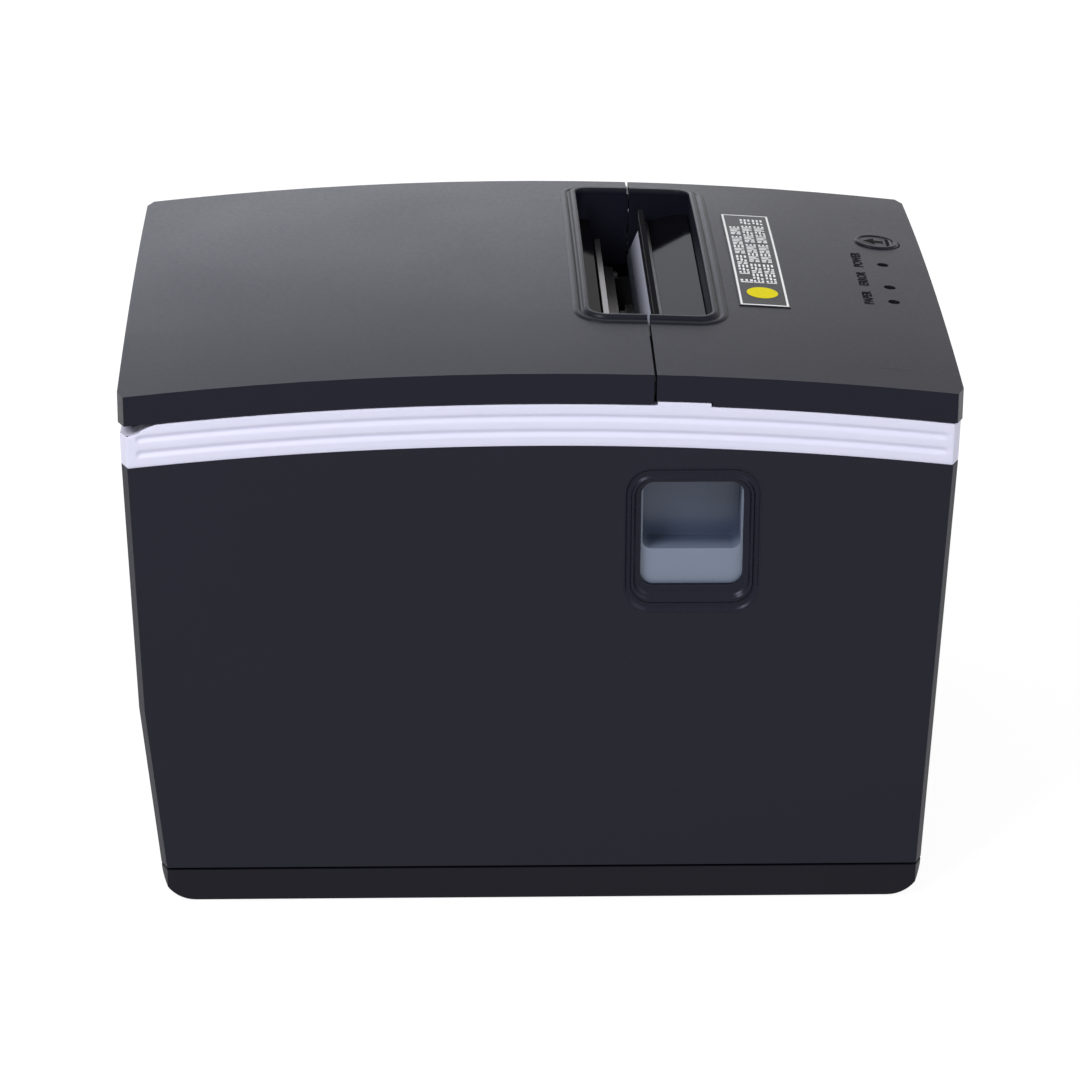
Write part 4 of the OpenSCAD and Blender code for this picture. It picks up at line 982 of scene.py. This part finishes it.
def surface_patch(x0, x1, y0, y1, lift):
    """A thin patch that follows the cover's top."""
    facet = 4 * MM
    nx = max(1, math.ceil((x1 - x0) / facet))
    ny = max(1, math.ceil((y1 - y0) / facet))
    places = []
    for i in range(nx + 1):
        for j in range(ny + 1):
            places.append((x0 + (x1 - x0) * i / nx, y0 + (y1 - y0) * j / ny))
    faces = []
    for i in range(nx):
        for j in range(ny):
            a = i * (ny + 1) + j
            faces.append((a, a + ny + 1, a + ny + 2, a + 1))
    return on_top(places, lift), faces


def add_words(name, words, x, y):
    """A small generic word that lies on the front cover's top."""
    curve = bpy.data.curves.new(name, "FONT")
    curve.body = words
    curve.size = 3.1 * MM
    curve.offset = 0.1 * MM
    curve.align_x = "CENTER"
    curve.align_y = "CENTER"
    curve.resolution_u = 3
    letters = bpy.data.objects.new(name, curve)
    bpy.context.scene.collection.objects.link(letters)
    bpy.context.view_layer.update()
    mesh = bpy.data.meshes.new_from_object(letters)
    bpy.data.objects.remove(letters)
    lift = bpy.context.scene.printer_look.print_lift
    places = [(x + vertex.co.x, y + vertex.co.y) for vertex in mesh.vertices]
    for vertex, point in zip(mesh.vertices, on_top(places, lift)):
        vertex.co = point
    mesh.materials.clear()
    mesh.materials.append(finishes.dark_ink)
    piece = bpy.data.objects.new(name, mesh)
    bpy.context.scene.collection.objects.link(piece)
    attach(piece, "chassis")


STROKES = (
    ((0.0, 0.0, 0.28, 1.0), (0.42, 0.0, 1.0, 0.22), (0.42, 0.4, 1.0, 0.6), (0.42, 0.78, 1.0, 1.0)),
    ((0.0, 0.0, 1.0, 0.22), (0.0, 0.4, 1.0, 0.6), (0.0, 0.78, 1.0, 1.0)),
    ((0.0, 0.0, 0.3, 1.0), (0.4, 0.3, 0.65, 1.0), (0.75, 0.0, 1.0, 1.0)),
    ((0.0, 0.0, 0.6, 0.25), (0.0, 0.4, 1.0, 0.62), (0.3, 0.78, 1.0, 1.0)),
    ((0.0, 0.0, 0.42, 0.42), (0.58, 0.5, 1.0, 1.0), (0.0, 0.6, 0.42, 1.0), (0.58, 0.0, 1.0, 0.35)),
)


def add_row(shapes, x0, x1, y, height, lift):
    """A row of plain strokes that stands for small print."""
    cell = height * 0.78
    gap = height * 0.2
    x = x0
    count = 0
    while x + cell < x1:
        for left, bottom, right, top in STROKES[(count * 3 + count // 4) % 5]:
            shapes.append(surface_patch(
                x + left * cell, x + right * cell,
                y + (bottom - 0.5) * height, y + (top - 0.5) * height, lift))
        count += 1
        x += cell + gap * (3 if count % 6 == 0 else 1)


def add_label_print(look):
    """White outline, rows of plain strokes and a round yellow spot on the label."""
    margin = 0.3 * MM
    line = 0.5 * MM
    x0 = low("top_label", "x") + margin
    x1 = high("top_label", "x") - margin
    y0 = low("top_label", "y") + margin
    y1 = high("top_label", "y") - margin
    centre = (y0 + y1) / 2
    lift = 0.2 * MM + look.print_lift
    shapes = [
        surface_patch(x0, x1, y0, y0 + line, lift),
        surface_patch(x0, x1, y1 - line, y1, lift),
        surface_patch(x0, x0 + 1.2 * line, y0 + line, y1 - line, lift),
        surface_patch(x1 - 1.2 * line, x1, y0 + line, y1 - line, lift),
    ]
    rows = (
        (x0 + 15.0 * MM, x0 + 19.6 * MM, 3.1 * MM, 2.9 * MM),
        (x0 + 21.0 * MM, x1 - 9.0 * MM, 3.2 * MM, 2.4 * MM),
        (x0 + 15.0 * MM, x1 - 2.4 * MM, 0.2 * MM, 2.4 * MM),
        (x0 + 15.0 * MM, x1 - 2.4 * MM, -2.8 * MM, 2.4 * MM),
    )
    for start, end, aside, height in rows:
        add_row(shapes, start, end, centre + aside, height, lift)
    points, faces = join_shapes(shapes)
    add_mesh("label_print", points, faces, finishes.white_ink, "chassis", smooth=False)
    spot = on_top(circle(x0 + 8.4 * MM, centre, 3.7 * MM, 32), lift)
    add_mesh(
        "label_spot", spot, [tuple(range(len(spot)))],
        finishes.yellow_ink, "chassis", smooth=False)


def add_button_mark():
    """A plain arrow over a line, with a larger pale copy behind it as a painted highlight, and a ring at the
    button's rim.
    """
    x = middle("feed_button", "x")
    y = middle("feed_button", "y")
    arrow = ((-0.7, -1.7), (0.7, -1.7), (0.7, 0.5), (2.5, 0.5), (0.0, 3.3), (-2.5, 0.5), (-0.7, 0.5))
    line = ((-2.5, -3.2), (2.5, -3.2), (2.5, -2.4), (-2.5, -2.4))
    # The pale copy, a little larger and lower than the dark mark, is a painted highlight on the mark's
    # relief.
    prints = (
        ("button_mark_highlight", 0.26, 1.16, finishes.highlight_ink), ("button_mark", 0.3, 1.0, finishes.dark_ink))
    for name, lift, scale, ink in prints:
        places = [(x + across * scale * MM, y + along * scale * MM) for across, along in arrow + line]
        faces = [tuple(range(len(arrow))), tuple(range(len(arrow), len(places)))]
        add_mesh(name, on_top(places, lift * MM), faces, ink, "button", smooth=False)
    profile = ((4.3, 0.15), (4.42, 0.4), (4.75, 0.48), (5.1, 0.42), (5.25, 0.1))
    points, faces = loft([on_top(circle(x, y, radius * MM, 64), up * MM) for radius, up in profile])
    add_mesh("button_rim", points, faces, finishes.rim, "button")


class PRINTER_OT_controls(bpy.types.Operator):
    """Dresses the feed button, the lenses and the label, and adds their marks"""
    bl_idname = "printer.controls"
    bl_label = "Dress Controls"

    def execute(self, context):
        look = context.scene.printer_look
        dress(finishes.cover, "feed_button")
        dress(finishes.lens, "lens_power", "lens_error", "lens_paper")
        dress(finishes.film, "top_label")
        dress(finishes.black, "tact_switch")
        dress(finishes.board, "button_board")
        soften(0.3 * MM, "feed_button")
        add_label_print(look)
        add_button_mark()
        words_by_lens = (
            ("lens_power", "POWER", 2.3), ("lens_error", "ERROR", 4.6), ("lens_paper", "PAPER", 1.4))
        for node, words, aside in words_by_lens:
            add_words("mark_" + node, words, middle(node, "x") + aside * MM, high(node, "y") + 4.6 * MM)
        return {"FINISHED"}


# === latch ===

WINDOW_Y = SPLIT_Y - 9 * MM
WINDOW_Z = COVER_END_Z - 34.1 * MM
WINDOW_W = 23.4 * MM
WINDOW_H = 25.3 * MM


def add_latch_dish():
    """Soft dished ring, ridge and sill round the latch window."""
    dish_z = WINDOW_Z - 1.1 * MM
    outer = (WINDOW_Y, dish_z, WINDOW_W + 7.8 * MM, WINDOW_H + 10.4 * MM, 6.4 * MM)
    ridge = (WINDOW_Y, dish_z, WINDOW_W + 3.8 * MM, WINDOW_H + 4.6 * MM, 4.4 * MM)
    sill = (WINDOW_Y, WINDOW_Z, WINDOW_W - 0.1 * MM, WINDOW_H - 0.1 * MM, 3.0 * MM)
    stations = [
        (outer, ridge, 0.0, -0.02), (outer, ridge, 0.06, -0.04), (outer, ridge, 0.16, 0.1),
        (outer, ridge, 0.28, 0.42), (outer, ridge, 0.42, 0.62), (outer, ridge, 0.6, 0.66),
        (outer, ridge, 0.74, 0.62), (outer, ridge, 0.82, 0.42), (outer, ridge, 0.89, 0.16),
        (outer, ridge, 0.95, 0.06), (ridge, sill, 0.0, 0.05), (ridge, sill, 0.12, 0.14),
        (ridge, sill, 0.22, 0.5), (ridge, sill, 0.34, 1.0), (ridge, sill, 0.5, 1.26),
        (ridge, sill, 0.8, 1.36), (ridge, sill, 0.94, 1.42), (ridge, sill, 1.0, 1.7),
        (ridge, sill, 1.0, 2.45),
    ]
    rings = []
    for first, second, share, depth in stations:
        y, z, width, height, radius = [a + (b - a) * share for a, b in zip(first, second)]
        outline = rounded_rect(width, height, radius, 12)
        rings.append([(SIDE_X + depth * MM, y + u, z + v) for u, v in outline])
    points, faces = loft(rings)
    add_mesh("latch_dish", points, faces, finishes.dish, "chassis")


class PRINTER_OT_latch(bpy.types.Operator):
    """Dresses the latch lever and adds the dish round its window"""
    bl_idname = "printer.latch"
    bl_label = "Dress Latch"

    def execute(self, context):
        dress(finishes.lever, "open_lever")
        dress(finishes.spring, "lever_spring")
        dress(finishes.inside, "lever_retainer")
        dress(finishes.sheet, "hook_left", "hook_right", "hook_crank")
        dress(finishes.shaft_steel, "hook_shaft")
        soften(0.8 * MM, "open_lever")
        add_latch_dish()
        return {"FINISHED"}


# === mechanism, boards and ports ===

class PRINTER_OT_mechanism(bpy.types.Operator):
    """Dresses the print mechanism, its gears and its motor"""
    bl_idname = "printer.mechanism"
    bl_label = "Dress Mechanism"

    def execute(self, context):
        dress(finishes.hidden_steel, "mech_frame")
        dress(finishes.sheet, "feed_motor")
        dress(finishes.ceramic, "thermal_head")
        dress(finishes.aluminium, "head_heatsink")
        dress(finishes.spring, "head_spring_left", "head_spring_right")
        dress(finishes.shaft_steel, "platen_shaft", "idler_axle")
        dress(finishes.rubber, "platen_roller")
        dress(finishes.acetal, "platen_gear", "idler_gear")
        dress(finishes.black, "bushing_left", "bushing_right")
        dress(finishes.brass, "motor_pinion")
        dress(finishes.shaft_steel, "mech_screws", "case_screws")
        return {"FINISHED"}


CONTACT_SECTION = ((-13.0, 0.05), (-2.5, 0.05), (-2.5, -0.3), (-9.0, -2.6), (-9.3, -2.3))
CONTACT_HALF_WIDTH = 0.24 * MM
PIN_SECTION = ((-9.2, 0.6), (-3.4, 0.6), (-3.0, 0.35))
PIN_CIRCLE = 2.4 * MM


def add_contacts(name, node, count, pitch, half_height):
    """Sprung contacts under the roof of a socket, with half the height of its opening."""
    face = high(node, "y")
    roof = middle(node, "z") + half_height
    section = [(face + y * MM, roof + z * MM) for y, z in CONTACT_SECTION]
    shapes = []
    for k in range(count):
        x = middle(node, "x") + (k - (count - 1) / 2) * pitch
        sides = (x - CONTACT_HALF_WIDTH, x + CONTACT_HALF_WIDTH)
        shapes.append(loft([[(side, y, z) for y, z in section] for side in sides], caps=(True, True)))
    points, faces = join_shapes(shapes)
    add_mesh(name, points, faces, finishes.contact, "chassis", smooth=False)


def add_filling(name, node, half_width, half_height, deep, shallow):
    """Dark moulding in the middle of a metal socket, between two depths behind its face."""
    x = middle(node, "x")
    z = middle(node, "z")
    face = high(node, "y")
    add_box(
        name, (x - half_width, x + half_width), (face - deep, face - shallow),
        (z - half_height, z + half_height), finishes.black, "chassis")


def add_inlet_pins():
    """Three pins in the round power inlet."""
    face = high("power_inlet", "y")
    centre = (middle("power_inlet", "x"), high("power_inlet", "z") - 7 * MM)
    shapes = []
    for angle in (90, 210, 330):
        x = centre[0] + PIN_CIRCLE * math.cos(math.radians(angle))
        z = centre[1] + PIN_CIRCLE * math.sin(math.radians(angle))
        rings = []
        for y, radius in PIN_SECTION:
            rings.append([(px, face + y * MM, pz) for px, pz in circle(x, z, radius * MM, 12)])
        shapes.append(loft(rings, caps=(True, True)))
    points, faces = join_shapes(shapes)
    add_mesh("inlet_pins", points, faces, finishes.contact, "chassis")


class PRINTER_OT_ports(bpy.types.Operator):
    """Dresses the main board, the rear panel and its connectors"""
    bl_idname = "printer.ports"
    bl_label = "Dress Ports"

    def execute(self, context):
        dress(finishes.board, "main_board")
        dress(finishes.sheet, "port_panel", "usb_port", "network_port")
        dress(finishes.black, "power_inlet", "drawer_port", "switch_housing", "power_rocker")
        soften(0.3 * MM, "power_rocker")
        add_contacts("network_contacts", "network_port", 8, 1.02 * MM, 4 * MM)
        add_contacts("drawer_contacts", "drawer_port", 6, 1.2 * MM, 3.75 * MM)
        add_filling("usb_back", "usb_port", 4.2 * MM, 3.8 * MM, 13.2 * MM, 12.6 * MM)
        add_filling("network_back", "network_port", 5.9 * MM, 3.9 * MM, 13.8 * MM, 13.2 * MM)
        add_filling("usb_tongue", "usb_port", 2.8 * MM, 1.6 * MM, 13.2 * MM, 2 * MM)
        add_inlet_pins()
        return {"FINISHED"}


class PRINTER_PT_panel(bpy.types.Panel):
    """Lists the steps that dress the printer"""
    bl_idname = "PRINTER_PT_panel"
    bl_label = "Receipt Printer"
    bl_space_type = "VIEW_3D"
    bl_region_type = "UI"
    bl_category = "Printer"

    def draw(self, context):
        look = context.scene.printer_look
        for name in PrinterLook.__annotations__:
            self.layout.prop(look, name)
        for step in STEPS:
            self.layout.operator(step.bl_idname)


STEPS = (
    PRINTER_OT_stage,
    PRINTER_OT_case,
    PRINTER_OT_covers,
    PRINTER_OT_paper_exit,
    PRINTER_OT_controls,
    PRINTER_OT_latch,
    PRINTER_OT_mechanism,
    PRINTER_OT_ports,
)
CLASSES = (PrinterLook, *STEPS, PRINTER_PT_panel)


def register():
    for item in CLASSES:
        bpy.utils.register_class(item)
    bpy.types.Scene.printer_look = PointerProperty(type=PrinterLook)


def unregister():
    del bpy.types.Scene.printer_look
    for item in reversed(CLASSES):
        bpy.utils.unregister_class(item)


def main():
    global finishes
    register()
    finishes = Finishes(bpy.context.scene.printer_look)
    for step in STEPS:
        group, name = step.bl_idname.split(".")
        getattr(getattr(bpy.ops, group), name)()


if __name__ == "__main__":
    main()
